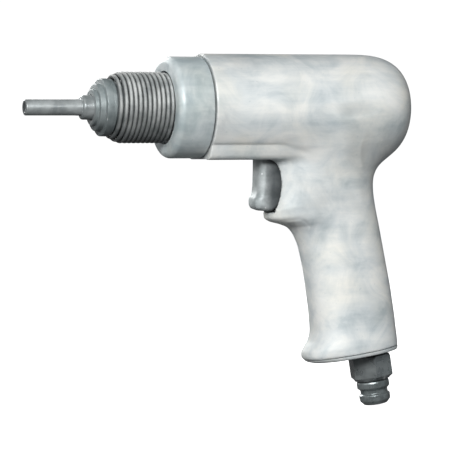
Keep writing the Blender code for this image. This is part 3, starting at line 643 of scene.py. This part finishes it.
# The side view as x and z, from the top of the front edge round the toe and up the rear edge.
TRIGGER_OUTLINE = (
    (128.0, -22.8),
    (127.5, -26.0),
    (127.4, -34.0),
    (127.2, -40.0),
    (126.9, -44.0),
    (126.2, -46.3),
    (125.3, -47.9),
    (125.05, -50.0),
    (125.3, -52.0),
    (126.4, -53.5),
    (128.2, -54.2),
    (130.4, -54.8),
    (132.8, -54.8),
    (135.2, -54.1),
    (137.1, -52.6),
    (138.7, -50.0),
    (139.9, -46.6),
    (140.9, -42.0),
    (141.2, -36.0),
    (141.0, -29.0),
    (140.3, -24.4),
    (138.6, -22.8),
)


def closed_curve(points, steps=5):
    """A smooth loop through the points, as many short sides."""
    points = np.array(points)
    before, after, later = (np.roll(points, -k, axis=0) for k in (-1, 1, 2))
    out = []
    for k in range(steps):
        t = k / steps
        out.append(
            0.5
            * (
                2 * points
                + (after - before) * t
                + (2 * before - 5 * points + 4 * after - later) * t**2
                + (3 * points - before - 3 * after + later) * t**3
            )
        )
    return np.stack(out, axis=1).reshape(-1, 2)


def outline_distance(x, z, loop):
    """Signed distance to a closed loop of straight sides, negative inside."""
    nearest = np.full(np.shape(x), 1e9)
    inside = np.zeros(np.shape(x), bool)
    for (ax, az), (bx, bz) in zip(loop, np.roll(loop, -1, axis=0)):
        ex, ez = bx - ax, bz - az
        px, pz = x - ax, z - az
        t = np.clip((px * ex + pz * ez) / (ex * ex + ez * ez), 0, 1)
        nearest = np.minimum(nearest, (px - ex * t) ** 2 + (pz - ez * t) ** 2)
        if ez:
            inside ^= ((az > z) != (bz > z)) & (px < ex * pz / ez)
    return np.where(inside, -1, 1) * np.sqrt(nearest)


TRIGGER_LOOP = closed_curve(TRIGGER_OUTLINE)


def trigger_field(x, y, z):
    """Finger lever: well rounded in front, crisp behind, with a swollen toe."""
    profile = outline_distance(x, z, TRIGGER_LOOP)
    toe = ramp(-z, 46.4, 48.0) * ramp(-x, -137, -131)
    bulge = 0.035 * np.maximum(131 - x, 0) ** 1.7 + 0.020 * np.maximum(x - 132, 0) ** 2
    flank = np.abs(y) - TRIGGER_HALF + 0.4 - 0.35 * toe + bulge
    edge = 1.3 + 2.3 * ramp(-x, -135, -128.5)
    channel = box_field(x, y, z, (139.4, -4.5, -60), (150, 4.5, -34), 0.5)
    return cut(rounded_corner(profile, flank, edge), channel, 0.6)


def trigger_with_pin_hole(x, y, z):
    hole = rod_field(x, y, z, PIVOT - np.array([0, 12, 0]), (0, 1, 0), 1.6, 24)
    return cut(trigger_field(x, y, z), hole, 0.2)


def make_trigger(finish):
    low, high = box_mm("trigger")
    points, quads = surface_net(trigger_with_pin_hole, low - 2.0, high + 2.0, 0.4)
    trigger = mesh_of_quads("trigger_lever", points, quads, 50)
    dress(trigger, finish, "trigger", "trigger_grey", "trigger")


# ---- turned pieces ----


def make_deflector(finish):
    low, high = box_mm("exhaust_deflector")
    front, rear, r = low[0], high[0], high[2]
    corners = [
        (front, 19.3, 0.5),
        (front, r, 6.2),
        (rear, r, 0.7),
        (rear, 23.4, 0.4),
        (front + 6.2, 23.4),
        (front + 6.2, 16.4, 0.3),
        (front + 2.9, 16.4, 0.3),
        (front + 2.9, 19.3),
    ]
    sleeve = lathe("deflector_sleeve", corners, HAMMER_AXIS, 192, ring=True, steps=10)
    for k in range(5):
        turn = math.radians(-70 + 20 * k)
        place = (
            np.zeros(3),
            np.array([1.0, 0, 0]),
            np.array([0, math.cos(turn), math.sin(turn)]),
            np.array([0, -math.sin(turn), math.cos(turn)]),
        )
        slot = block(f"cut_slot_{k}", (front + 8.7, 20, -1.3), (front + 16.7, 30, 1.3), place)
        subtract(sleeve, slot)
    sleeve.data.set_sharp_from_angle(angle=math.radians(35))
    dress(sleeve, finish, "deflector", "deflector_grey", "exhaust_deflector")


def make_rivet_set(finish):
    low, high = box_mm("rivet_set")
    rim = low[0]
    corners = [
        (0, 0),
        (0, 1.8),
        (rim, 2.8, 0.15),
        (rim, 4.2, 0.9),
        (26.0, 4.2),
        (30.0, 4.35, 0.3),
        (30.2, 6.4, 1.1),
        (42.0, 6.4, 0.2),
        (42.0, 9.6, 0.4),
        (46.7, 9.6, 0.4),
        (46.7, 5.1, 0.3),
        (high[0], 5.1, 0.8),
        (high[0], 0),
    ]
    piece = lathe("rivet_set_turned", corners, HAMMER_AXIS, 128)
    dress(piece, finish, "set", "tool_steel", "rivet_set")


WIRE_R = 1.18
COIL_PITCH = 2.52
COIL_TURNS = 11.75
COIL_TAPER_TURNS = 2.5
# Where the middle of the wire's front end lies along the axis.
COIL_START_X = box_mm("retainer_spring")[1][0] - WIRE_R - COIL_TURNS * COIL_PITCH
CAP_NECK = (44.0, 48.6, 12.9)  # where the neck under the front coils starts and ends, its radius



def spring_seat(along, r, turn):
    """The cap's neck rises to meet the first coil, as a thread does."""
    start, end, neck_r = CAP_NECK
    if not start < along < end or r > neck_r + 0.5:
        return r
    past_wire_end = (math.pi / 2 - turn) / math.tau % 1.0
    crest_end = COIL_START_X + COIL_PITCH * past_wire_end - WIRE_R - 0.1
    return r + 2.1 * float(ramp(crest_end - along, 0.0, 0.45))


def make_retainer_cap(finish):
    low, high = box_mm("retainer_cap")
    start, end, neck_r = CAP_NECK
    corners = [
        (low[0], 6.85, 0.3),
        (low[0], 9.5, 0.5),
        (37.3, 9.7, 0.15),
        (37.4, 12.3, 0.5),
        (40.1, 12.5, 0.15),
        (40.2, 15.1, 0.55),
        (start, 15.15, 0.25),
    ]
    corners += [(start + 0.12 * k, neck_r) for k in range(1, 24)]
    corners += [
        (end, neck_r, 0.2),
        (end, 14.2, 0.3),
        (high[0], 14.2, 0.3),
        (high[0], 10.0, 0.2),
        (41.7, 10.0, 0.2),
        (41.7, 6.85, 0.2),
    ]
    cap = lathe(
        "retainer_thimble", corners, HAMMER_AXIS, 192, ring=True, radius_at=spring_seat
    )
    dress(cap, finish, "cap", "tool_steel", "retainer_cap")


def make_retainer_spring(finish):
    """Beehive coil: its front two and a half turns grow to full size."""
    low, high = box_mm("retainer_spring")
    full_r = high[2] - WIRE_R
    first_r = full_r - 2.7
    count = round(COIL_TURNS * 72)
    path, radii = [], []
    for k in range(count + 1):
        turn = COIL_TURNS * k / count
        share = min(1.0, turn / COIL_TAPER_TURNS)
        r = first_r + (full_r - first_r) * (1 - (1 - share) ** 1.8)
        angle = math.tau * turn
        path.append((COIL_START_X + turn * COIL_PITCH, r * math.cos(angle), -r * math.sin(angle)))
        to_end = min(turn, COIL_TURNS - turn)
        radii.append(WIRE_R * (1 - 0.45 * max(0.0, 1 - to_end / 0.12) ** 2))
    spring = sweep("beehive_spring", path, radii, 18)
    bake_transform(spring)
    spring.data.materials.append(finish)
    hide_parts("retainer_spring")


def make_throttle_spring(finish):
    """Plain coil behind the throttle valve, which squeezes it."""
    low, high = box_mm("throttle_spring")
    wire_r, ring_r, turns, steps_per_turn = 0.45, 4.0, 4.5, 36
    axis_z = middle_mm("throttle_spring")[2]
    count = round(turns * steps_per_turn)
    path = []
    for k in range(count + 1):
        angle = math.tau * k / steps_per_turn
        along = low[0] + wire_r + (high[0] - low[0] - 2 * wire_r) * k / count
        path.append((along, ring_r * math.cos(angle), axis_z + ring_r * math.sin(angle)))
    coil = sweep("throttle_coil", path, [wire_r] * len(path), 12, axis_z)
    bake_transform(coil)
    coil.data.materials.append(finish)
    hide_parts("throttle_spring")


HEX_ACROSS_FLATS = 20.6
HEX_TURN = math.radians(20)  # how far its corners stand off the grip's front and back
HEX_END = 14.9  # down the inlet's axis
PLUG_START = HEX_END + 0.4


def within_hexagon(_, r, turn):
    face = ((turn + HEX_TURN) % (math.pi / 3)) - math.pi / 6
    return min(r, HEX_ACROSS_FLATS / 2 / math.cos(face))


def make_inlet(steel, plug_steel, washer_finish):
    corner_r = HEX_ACROSS_FLATS / math.sqrt(3)
    corners = [
        (-15.9, 7.8, 0.4),
        (1.8, 7.8),
        (1.8, corner_r - 0.9, 0.2),
        (2.7, corner_r + 0.2, 0.3),
        (HEX_END - 2.1, corner_r + 0.2, 0.6),
        (HEX_END, 9.2, 0.3),
        (HEX_END, 6.4, 0.3),
        (3.0, 6.4),
        (3.0, 4.5),
        (-6.0, 4.5),
        (-6.0, 6.2),
        (-15.9, 6.2),
    ]
    bushing = lathe(
        "inlet_hexagon",
        corners,
        INLET_AXIS,
        144,
        ring=True,
        radius_at=within_hexagon,
        sharp=25,
    )
    dress(bushing, steel, "housing", "fitting_steel", "inlet_bushing")
    washer = lathe(
        "inlet_gasket",
        [(0.3, 8.5), (0.3, 10.4, 0.3), (1.5, 10.4, 0.3), (1.5, 8.5)],
        INLET_AXIS,
        96,
        ring=True,
    )
    dress(washer, washer_finish, "housing", "rubber", "inlet_washer")
    start = PLUG_START
    corners = [
        (4.0, 4.45, 0.2),
        (4.0, 6.0, 0.3),
        (start, 6.0),
        (start, 8.4, 0.7),
        (start + 1.1, 8.75, 0.8),
        (start + 3.6, 8.75, 1.0),
        (start + 4.9, 7.3, 0.7),
        (start + 6.8, 7.3, 0.7),
        (start + 7.6, 8.3, 0.9),
        (start + 10.6, 8.2, 1.4),
        (start + 12.8, 6.2, 0.8),
        (start + 12.85, 4.45, 0.5),
    ]
    plug = lathe("hose_plug_turned", corners, INLET_AXIS, 128, ring=True)
    dress(plug, plug_steel, "housing", "fitting_steel", "hose_plug")


def make_pin_and_regulator(steel, brass, clip):
    low, high = box_mm("trigger_pin")
    place = axis_frame((PIVOT[0], low[1], PIVOT[2]), (0, 1, 0))
    length = high[1] - low[1]
    corners = [(0, 0), (0, 1.25, 0.25), (length, 1.25, 0.25), (length, 0)]
    pin = lathe("trigger_pivot_pin", corners, place, 48)
    dress(pin, steel, "housing", "ground_steel", "trigger_pin")

    low, high = box_mm("regulator_valve")
    place = axis_frame((REGULATOR[0], 0, REGULATOR[2]), (0, 1, 0))
    corners = [
        (-6.5, 0),
        (-6.5, 5.0, 0.3),
        (9.2, 5.0),
        (9.2, 3.6),
        (11.6, 3.6),
        (11.6, 5.0),
        (14.2, 5.0, 0.3),
        (14.2, 3.0),
        (high[1], 3.0, 0.4),
        (high[1], 0),
    ]
    valve = lathe("regulator_spool", corners, place, 64)
    subtract(valve, block("cut_driver", (-0.5, -4, high[1] - 1.2), (0.5, 4, high[1] + 1), place))
    valve.data.set_sharp_from_angle(angle=math.radians(35))
    dress(valve, brass, "regulator", "brass", "regulator_valve")
    low, high = box_mm("regulator_snap_ring")
    corners = [
        (low[1], 3.4, 0.15),
        (low[1], 5.9, 0.15),
        (high[1], 5.9, 0.15),
        (high[1], 3.4, 0.15),
    ]
    ring = lathe("regulator_clip", corners, place, 96, ring=True)
    subtract(ring, block("cut_gap", (-1.2, 2, low[1] - 1), (1.2, 8, high[1] + 1), place))
    ring.data.set_sharp_from_angle(angle=math.radians(35))
    dress(ring, clip, "housing", "spring_steel", "regulator_snap_ring")


def dress(obj, finish, body, slot, *nodes):
    """Gives a finished piece its material and body, and hides the CAD nodes that it stands for. The slot is not
    used.
    """
    obj.data.materials.clear()
    obj.data.materials.append(finish)
    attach(obj, body)
    if nodes:
        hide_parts(*nodes)


# ---- materials ----


class Finish:
    """A small builder of node trees for procedural materials."""

    def __init__(self, name):
        self.material = bpy.data.materials.new(name)
        self.material.use_nodes = True
        self.tree = self.material.node_tree
        self.tree.nodes.clear()
        self.out = self.tree.nodes.new("ShaderNodeOutputMaterial")
        self.shader = self.tree.nodes.new("ShaderNodeBsdfPrincipled")
        self.tree.links.new(self.shader.outputs[0], self.out.inputs[0])
        self.place = self.tree.nodes.new("ShaderNodeTexCoord").outputs["Object"]

    def node(self, kind, values=None, **settings):
        made = self.tree.nodes.new(kind)
        for key, value in settings.items():
            setattr(made, key, value)
        for key, value in (values or {}).items():
            if isinstance(value, bpy.types.NodeSocket):
                self.tree.links.new(value, made.inputs[key])
            else:
                made.inputs[key].default_value = value
        return made

    def stretched(self, scale, offset=(0, 0, 0), turn=(0, 0, 0)):
        values = {"Vector": self.place, "Scale": scale, "Location": offset, "Rotation": turn}
        return self.node("ShaderNodeMapping", values).outputs[0]

    def noise(self, scale, detail=3.0, roughness=0.5, vector=None, distortion=0.0):
        values = {
            "Vector": vector or self.place,
            "Scale": scale,
            "Detail": detail,
            "Roughness": roughness,
            "Distortion": distortion,
        }
        return self.node("ShaderNodeTexNoise", values).outputs["Fac"]

    def math(self, operation, a, b=0.0, clamp=False):
        return self.node(
            "ShaderNodeMath", {0: a, 1: b}, operation=operation, use_clamp=clamp
        ).outputs[0]

    def range(self, value, low, high, to_low=0.0, to_high=1.0):
        values = {
            "Value": value,
            "From Min": low,
            "From Max": high,
            "To Min": to_low,
            "To Max": to_high,
        }
        return self.node("ShaderNodeMapRange", values).outputs[0]

    def ramp(self, value, stops):
        made = self.node("ShaderNodeValToRGB", {"Fac": value})
        elements = made.color_ramp.elements
        while len(elements) < len(stops):
            elements.new(0.5)
        for element, (at, colour) in zip(elements, stops):
            element.position = at
            element.color = (*colour, 1.0)
        return made.outputs["Color"]

    def mix(self, share, a, b, blend="MIX"):
        made = self.tree.nodes.new("ShaderNodeMix")
        made.data_type = "RGBA"
        made.blend_type = blend
        for socket, value in (
            (made.inputs[0], share),
            (made.inputs[6], a),
            (made.inputs[7], b),
        ):
            if isinstance(value, bpy.types.NodeSocket):
                self.tree.links.new(value, socket)
            elif isinstance(value, tuple):
                socket.default_value = (*value, 1.0)
            else:
                socket.default_value = value
        return made.outputs[2]

    def wear_and_painted_light(self):
        """High on outer edges and low in concave corners; the finishes paint edges bright as wear and painted
        highlight, and corners as painted shade.
        """
        return self.node("ShaderNodeNewGeometry").outputs["Pointiness"]

    def near(self, point, reach):
        """High close to a point given in metres, and gone at this reach from it."""
        distance = self.node(
            "ShaderNodeVectorMath", {0: self.place, 1: point}, operation="DISTANCE"
        ).outputs["Value"]
        made = self.node(
            "ShaderNodeMapRange",
            {"Value": distance, "From Min": reach, "From Max": 0.0},
            interpolation_type="SMOOTHSTEP",
        )
        return made.outputs[0]

    def stored(self, name):
        """A value that the mesh holds at each of its points."""
        return self.node("ShaderNodeAttribute", attribute_name=name).outputs["Fac"]

    def across(self, axis, start, end):
        """0 up to the first place along an axis, in metres, and 1 from the second."""
        place = self.node("ShaderNodeSeparateXYZ", {"Vector": self.place}).outputs[axis]
        values = {"Value": place, "From Min": start, "From Max": end}
        return self.node(
            "ShaderNodeMapRange", values, interpolation_type="SMOOTHSTEP"
        ).outputs[0]

    def bump(self, height, strength, distance, normal=None):
        values = {"Height": height, "Strength": strength, "Distance": distance}
        if normal is not None:
            values["Normal"] = normal
        return self.node("ShaderNodeBump", values).outputs[0]

    def finish(self, colour, metallic, roughness, normal=None, **more):
        for key, value in {
            "Base Color": colour,
            "Metallic": metallic,
            "Roughness": roughness,
            "Normal": normal,
            **more,
        }.items():
            if value is None:
                continue
            if isinstance(value, bpy.types.NodeSocket):
                self.tree.links.new(value, self.shader.inputs[key])
            elif isinstance(value, tuple):
                self.shader.inputs[key].default_value = (*value, 1.0)
            else:
                self.shader.inputs[key].default_value = value
        return self.material


EDGE_WEAR_AND_HIGHLIGHT_CASTING = (0.86, 0.87, 0.87)
EDGE_WEAR_AND_HIGHLIGHT_STEEL = (0.66, 0.67, 0.68)
CREASE_SHADE = (0.05, 0.055, 0.06)
# Painted shade on the casting: each place, how far the painted shade reaches round it, and its strength.
PAINTED_SHADE_PATCHES = (
    ((0.183, -0.020, -0.030), 0.040, 0.38),
    ((0.148, -0.016, -0.050), 0.032, 0.36),
    ((0.203, -0.014, -0.012), 0.026, 0.22),
    ((0.152, -0.010, -0.134), 0.026, 0.20),
    ((0.110, -0.012, 0.026), 0.026, 0.26),
    ((0.097, -0.026, -0.006), 0.016, 0.42),
)
TOE = (0.1265, -0.002, -0.0505)
CUP = (-0.001, 0.0, 0.0)


def casting_finish(name, dark, middle, light, warm, rough_low=0.34, rough_high=0.52):
    """Pale cast metal: cloudy tones, painted shade in creases and at listed places, fine blasted grain, edges
    painted brighter as wear and highlight.
    """
    f = Finish(name)
    cloudy = f.noise(46.0, 5.0, 0.62, distortion=0.9)
    streaks = f.noise(95.0, 5.0, 0.62, f.stretched((0.16, 1, 1.0), (0.3, 0.1, 0.7)))
    grain = f.noise(900.0, 3.0, 0.6)
    tone = f.math("ADD", f.math("MULTIPLY", cloudy, 0.55), f.math("MULTIPLY", streaks, 0.45))
    colour = f.ramp(tone, ((0.35, dark), (0.48, middle), (0.61, light)))
    warmth = f.range(f.noise(34.0, 3.0, 0.5, f.stretched((1, 1, 1), (4.1, 2.2, 0.4))), 0.46, 0.62)
    colour = f.mix(f.math("MULTIPLY", warmth, 0.5), colour, warm, "MULTIPLY")
    speck = f.range(f.noise(420.0, 2.0, 0.5), 0.70, 0.76)
    colour = f.mix(f.math("MULTIPLY", speck, 0.35), colour, dark)
    # Outer edges painted brighter: partly wear, partly painted highlight.
    edge = f.range(f.wear_and_painted_light(), 0.53, 0.62)
    edge_wear_and_highlight = f.math("MULTIPLY", edge, f.range(streaks, 0.35, 0.6), clamp=True)
    colour = f.mix(f.math("MULTIPLY", edge_wear_and_highlight, 0.4), colour, EDGE_WEAR_AND_HIGHLIGHT_CASTING)
    # Creases and the seams to nearby parts are painted dark: painted shade.
    crease_shade = f.stored("shelter")
    uneven = f.range(f.noise(140.0, 4.0, 0.6), 0.3, 0.7, 0.6, 1.0)
    crease_shade = f.math("MULTIPLY", f.range(crease_shade, 0.12, 0.62), uneven, clamp=True)
    shade_tone = tuple(0.42 * c for c in dark)
    colour = f.mix(f.math("MULTIPLY", crease_shade, 0.8), colour, shade_tone)
    blotches = f.range(f.noise(70.0, 4.0, 0.6, distortion=0.6), 0.38, 0.6, 0.45, 1.0)
    # Darker patches at the listed places: painted shade.
    for place, reach, strength in PAINTED_SHADE_PATCHES:
        share = f.math("MULTIPLY", f.near(place, reach), f.math("MULTIPLY", blotches, strength))
        colour = f.mix(share, colour, shade_tone)
    rough = f.range(streaks, 0.3, 0.7, rough_low, rough_high)
    rough = f.math("ADD", rough, f.math("MULTIPLY", f.across("Z", -0.02, -0.034), 0.22))
    height = f.math("ADD", f.math("MULTIPLY", grain, 0.35), f.math("MULTIPLY", streaks, 0.65))
    normal = f.bump(height, 0.12, 0.0006)
    return f.finish(colour, 0.1, rough, normal)


def steel_finish(name, dark, light, metallic=0.85, rough=(0.26, 0.46), lines=True, wear_and_painted_light=None):
    """Steel with the fine rings of turning, clouded oxide, edges painted bright as wear and highlight, and painted
    shade in corners.

    The last argument is a function of the Finish that gives how much light is painted on each place, from 0 for
    painted shade to 1 for a painted highlight.
    """
    f = Finish(name)
    cloudy = f.noise(120.0, 4.0, 0.6)
    colour = f.ramp(cloudy, ((0.35, dark), (0.65, light)))
    rings = f.noise(1.0, 3.0, 0.6, f.stretched((2600.0, 60.0, 60.0)))
    # Outer edges painted brighter: partly wear, partly painted highlight.
    edge = f.range(f.wear_and_painted_light(), 0.53, 0.64)
    colour = f.mix(f.math("MULTIPLY", edge, 0.65, clamp=True), colour, EDGE_WEAR_AND_HIGHLIGHT_STEEL)
    # Concave corners painted dark: painted shade.
    crease = f.range(f.wear_and_painted_light(), 0.47, 0.36)
    colour = f.mix(f.math("MULTIPLY", crease, 0.7, clamp=True), colour, CREASE_SHADE)
    if lines:
        colour = f.mix(f.range(rings, 0.35, 0.7, 0.0, 0.3), colour, light)
    # Painted light and shade from the given function.
    if wear_and_painted_light:
        stops = ((0.0, (0.38, 0.39, 0.40)), (0.5, (1, 1, 1)), (1.0, (1.8, 1.82, 1.82)))
        shade = f.ramp(wear_and_painted_light(f), stops)
        colour = f.mix(1.0, colour, shade, "MULTIPLY")
    roughness = f.range(cloudy, 0.3, 0.7, rough[0], rough[1])
    grain = f.noise(1500.0, 2.0, 0.5)
    height = f.math("ADD", rings if lines else cloudy, f.math("MULTIPLY", grain, 0.4))
    normal = f.bump(height, 0.10, 0.0002)
    return f.finish(colour, metallic, roughness, normal)


def trigger_painted_light(f):
    """Painted light on the trigger: its front and toe are painted lighter, and its rear half is painted shade."""
    front = f.across("X", 0.1355, 0.1275)
    return f.math("ADD", f.math("MULTIPLY", front, 0.8), f.math("MULTIPLY", f.near(TOE, 0.007), 0.4))


def coil_painted_light(f):
    """Painted light on a coil: its outside is painted lighter on the upper side, and painted shade lies between
    coils and underneath.
    """
    crest = f.range(f.stored("crest"), 0.45, 1.0, 0.0, 0.75)
    return f.math("MULTIPLY", crest, f.across("Z", -0.018, 0.008))


def painted_light_from_above(f):
    """Painted light from above: the upper side painted lighter, the underside painted shade, and the cup made
    darker.
    """
    shade = f.range(f.across("Z", -0.016, 0.008), 0.0, 1.0, 0.2, 0.68)
    return f.math("SUBTRACT", shade, f.near(CUP, 0.0056), clamp=True)


def brass_finish(name):
    f = Finish(name)
    cloudy = f.noise(160.0, 4.0, 0.6)
    colour = f.ramp(cloudy, ((0.3, (0.42, 0.28, 0.10)), (0.7, (0.72, 0.54, 0.27))))
    rough = f.range(cloudy, 0.3, 0.7, 0.24, 0.42)
    return f.finish(colour, 1.0, rough, f.bump(f.noise(1400.0, 3.0, 0.5), 0.08, 0.0002))


def rubber_finish(name):
    f = Finish(name)
    dusty = f.noise(210.0, 4.0, 0.6)
    colour = f.ramp(dusty, ((0.3, (0.018, 0.018, 0.019)), (0.75, (0.06, 0.06, 0.06))))
    rough = f.range(dusty, 0.3, 0.7, 0.6, 0.85)
    return f.finish(colour, 0.0, rough, f.bump(f.noise(1100.0, 3.0, 0.6), 0.15, 0.0003))


# ---- stage ----


def make_stage():
    """A pale floor that curves up into a backdrop all round. It shows, but throws no light."""
    floor_z = bounds_at_load[0][2]
    flat_r, curve, height = 4.0, 1.2, 3.0
    profile = [(0.0, 0.0), (0.4, 0.0), (flat_r, 0.0)]
    for k in range(1, 25):
        t = math.pi / 2 * k / 24
        profile.append((flat_r + curve * math.sin(t), curve * (1 - math.cos(t))))
    profile.append((flat_r + curve, height))
    bm = bmesh.new()
    rows = []
    for r, z in profile:
        angles = [math.tau * k / 96 for k in range(96)] if r else [0.0]
        rows.append([bm.verts.new((r * math.cos(t), r * math.sin(t), z + floor_z)) for t in angles])
    for k in range(96):
        n = (k + 1) % 96
        bm.faces.new((rows[0][0], rows[1][k], rows[1][n]))
        for a, b in zip(rows[1:], rows[2:]):
            bm.faces.new((a[k], b[k], b[n], a[n]))
    mesh = bpy.data.meshes.new("floor")
    bm.to_mesh(mesh)
    bm.free()
    mesh.shade_smooth()
    floor = link("floor", mesh)
    f = Finish("floor_paper")
    shade = f.noise(3.0, 2.0, 0.5)
    colour = f.ramp(shade, ((0.3, (0.93, 0.93, 0.925)), (0.7, (0.95, 0.95, 0.95))))
    f.finish(colour, 0.0, 0.9)
    f.shader.inputs["Emission Color"].default_value = (1.0, 1.0, 1.0, 1.0)
    f.shader.inputs["Emission Strength"].default_value = 0.92
    floor.data.materials.append(f.material)
    floor.visible_diffuse = False
    floor.visible_glossy = False
    floor.visible_shadow = False


def area_light(name, azimuth, elevation, distance, size, power, colour=(1, 1, 1)):
    a, e = math.radians(azimuth), math.radians(elevation)
    back = Vector((math.sin(a) * math.cos(e), -math.cos(a) * math.cos(e), math.sin(e)))
    light = bpy.data.lights.new(name, "AREA")
    light.shape = "RECTANGLE"
    light.size, light.size_y = size
    light.energy = power
    light.color = colour
    obj = bpy.data.objects.new(name, light)
    bpy.context.scene.collection.objects.link(obj)
    obj.location = TARGET + back * distance
    obj.rotation_euler = back.to_track_quat("Z", "Y").to_euler()


TARGET = Vector((0.106, 0.0, -0.065))
CAMERA_AZIMUTH = -20.0
CAMERA_ELEVATION = 2.0
CAMERA_DISTANCE = 1.8
VIEW_WIDTH = 0.238


def make_camera():
    a, e = math.radians(CAMERA_AZIMUTH), math.radians(CAMERA_ELEVATION)
    back = Vector((math.sin(a) * math.cos(e), -math.cos(a) * math.cos(e), math.sin(e)))
    camera = bpy.data.cameras.new("camera")
    camera.sensor_width = 36.0
    camera.lens = camera.sensor_width * CAMERA_DISTANCE / VIEW_WIDTH
    camera.shift_x = 0.0164
    camera.shift_y = 0.0122
    camera.clip_end = 20.0
    camera.dof.use_dof = False
    obj = bpy.data.objects.new("camera", camera)
    bpy.context.scene.collection.objects.link(obj)
    obj.location = TARGET + back * CAMERA_DISTANCE
    obj.rotation_euler = back.to_track_quat("Z", "Y").to_euler()
    bpy.context.scene.camera = obj


def make_light():
    world = bpy.data.worlds.new("studio")
    world.use_nodes = True
    background = world.node_tree.nodes["Background"]
    background.inputs["Color"].default_value = (0.97, 0.985, 1.0, 1.0)
    background.inputs["Strength"].default_value = 0.12
    bpy.context.scene.world = world
    area_light("key", -28, 24, 1.1, (0.55, 0.4), 9.4, (1.0, 0.995, 0.98))
    area_light("strip", -24, 22, 1.0, (1.3, 0.08), 5.2, (1.0, 1.0, 1.0))
    area_light("side", -80, 8, 1.2, (0.5, 0.5), 1.6, (1.0, 0.99, 0.97))
    area_light("fill", 55, 10, 1.4, (0.8, 0.8), 0.9, (0.92, 0.97, 1.0))
    area_light("rear", 188, 22, 1.3, (0.7, 0.6), 10.0, (1.0, 0.995, 0.985))
    bpy.context.scene.view_settings.view_transform = "Standard"


def main():
    warm = (1.0, 0.965, 0.90)
    casting = casting_finish(
        "cast_housing", (0.44, 0.50, 0.525), (0.62, 0.66, 0.67), (0.77, 0.785, 0.77), warm
    )
    # The foot plate's finish is a darker copy of the casting's finish: painted shade.
    plate = casting_finish(
        "cast_foot_painted_shade", (0.38, 0.43, 0.45), (0.52, 0.56, 0.57), (0.65, 0.675, 0.665), warm
    )
    collar = casting_finish(
        "cast_sleeve", (0.31, 0.375, 0.405), (0.43, 0.495, 0.515), (0.58, 0.63, 0.64), warm
    )
    tool = steel_finish(
        "turned_tool_steel", (0.155, 0.175, 0.18), (0.335, 0.36, 0.365), 0.35, wear_and_painted_light=painted_light_from_above
    )
    thimble = steel_finish(
        "thimble_steel", (0.11, 0.135, 0.14), (0.225, 0.255, 0.26), 0.2, (0.36, 0.5), wear_and_painted_light=painted_light_from_above
    )
    spring = steel_finish(
        "spring_wire",
        (0.175, 0.19, 0.19),
        (0.39, 0.405, 0.40),
        0.15,
        (0.5, 0.66),
        lines=False,
        wear_and_painted_light=coil_painted_light,
    )
    lever = steel_finish(
        "trigger_steel",
        (0.185, 0.205, 0.21),
        (0.335, 0.36, 0.365),
        0.2,
        (0.42, 0.6),
        lines=False,
        wear_and_painted_light=trigger_painted_light,
    )
    fitting = steel_finish("fitting_black", (0.11, 0.125, 0.13), (0.25, 0.275, 0.28), 0.5, (0.2, 0.38))
    plug = steel_finish("plug_steel", (0.11, 0.13, 0.135), (0.25, 0.28, 0.285), 0.5, (0.2, 0.36))
    clip = steel_finish("clip_steel", (0.15, 0.16, 0.16), (0.38, 0.385, 0.38), 0.6, lines=False)
    ground = steel_finish("ground_steel", (0.35, 0.36, 0.37), (0.58, 0.59, 0.6), 1.0)
    brass = brass_finish("turned_brass")
    rubber = rubber_finish("black_rubber")

    make_housing(casting)
    make_base_plate(plate, fitting)
    make_trigger(lever)
    make_deflector(collar)
    make_rivet_set(tool)
    make_retainer_cap(thimble)
    make_retainer_spring(spring)
    make_throttle_spring(clip)
    make_inlet(fitting, plug, rubber)
    make_pin_and_regulator(ground, brass, clip)

    by_slot = {
        "casting": casting,
        "deflector_grey": collar,
        "spring_steel": clip,
        "tool_steel": tool,
        "trigger_grey": lever,
        "fitting_steel": fitting,
        "ground_steel": ground,
        "brass": brass,
        "rubber": rubber,
    }
    for part in frame["record"]["subparts"]:
        mesh = frame["nodes"][part["node"]].data
        mesh.materials.clear()
        mesh.materials.append(by_slot[part["material_slot"]])

    make_stage()
    make_light()
    make_camera()


main()
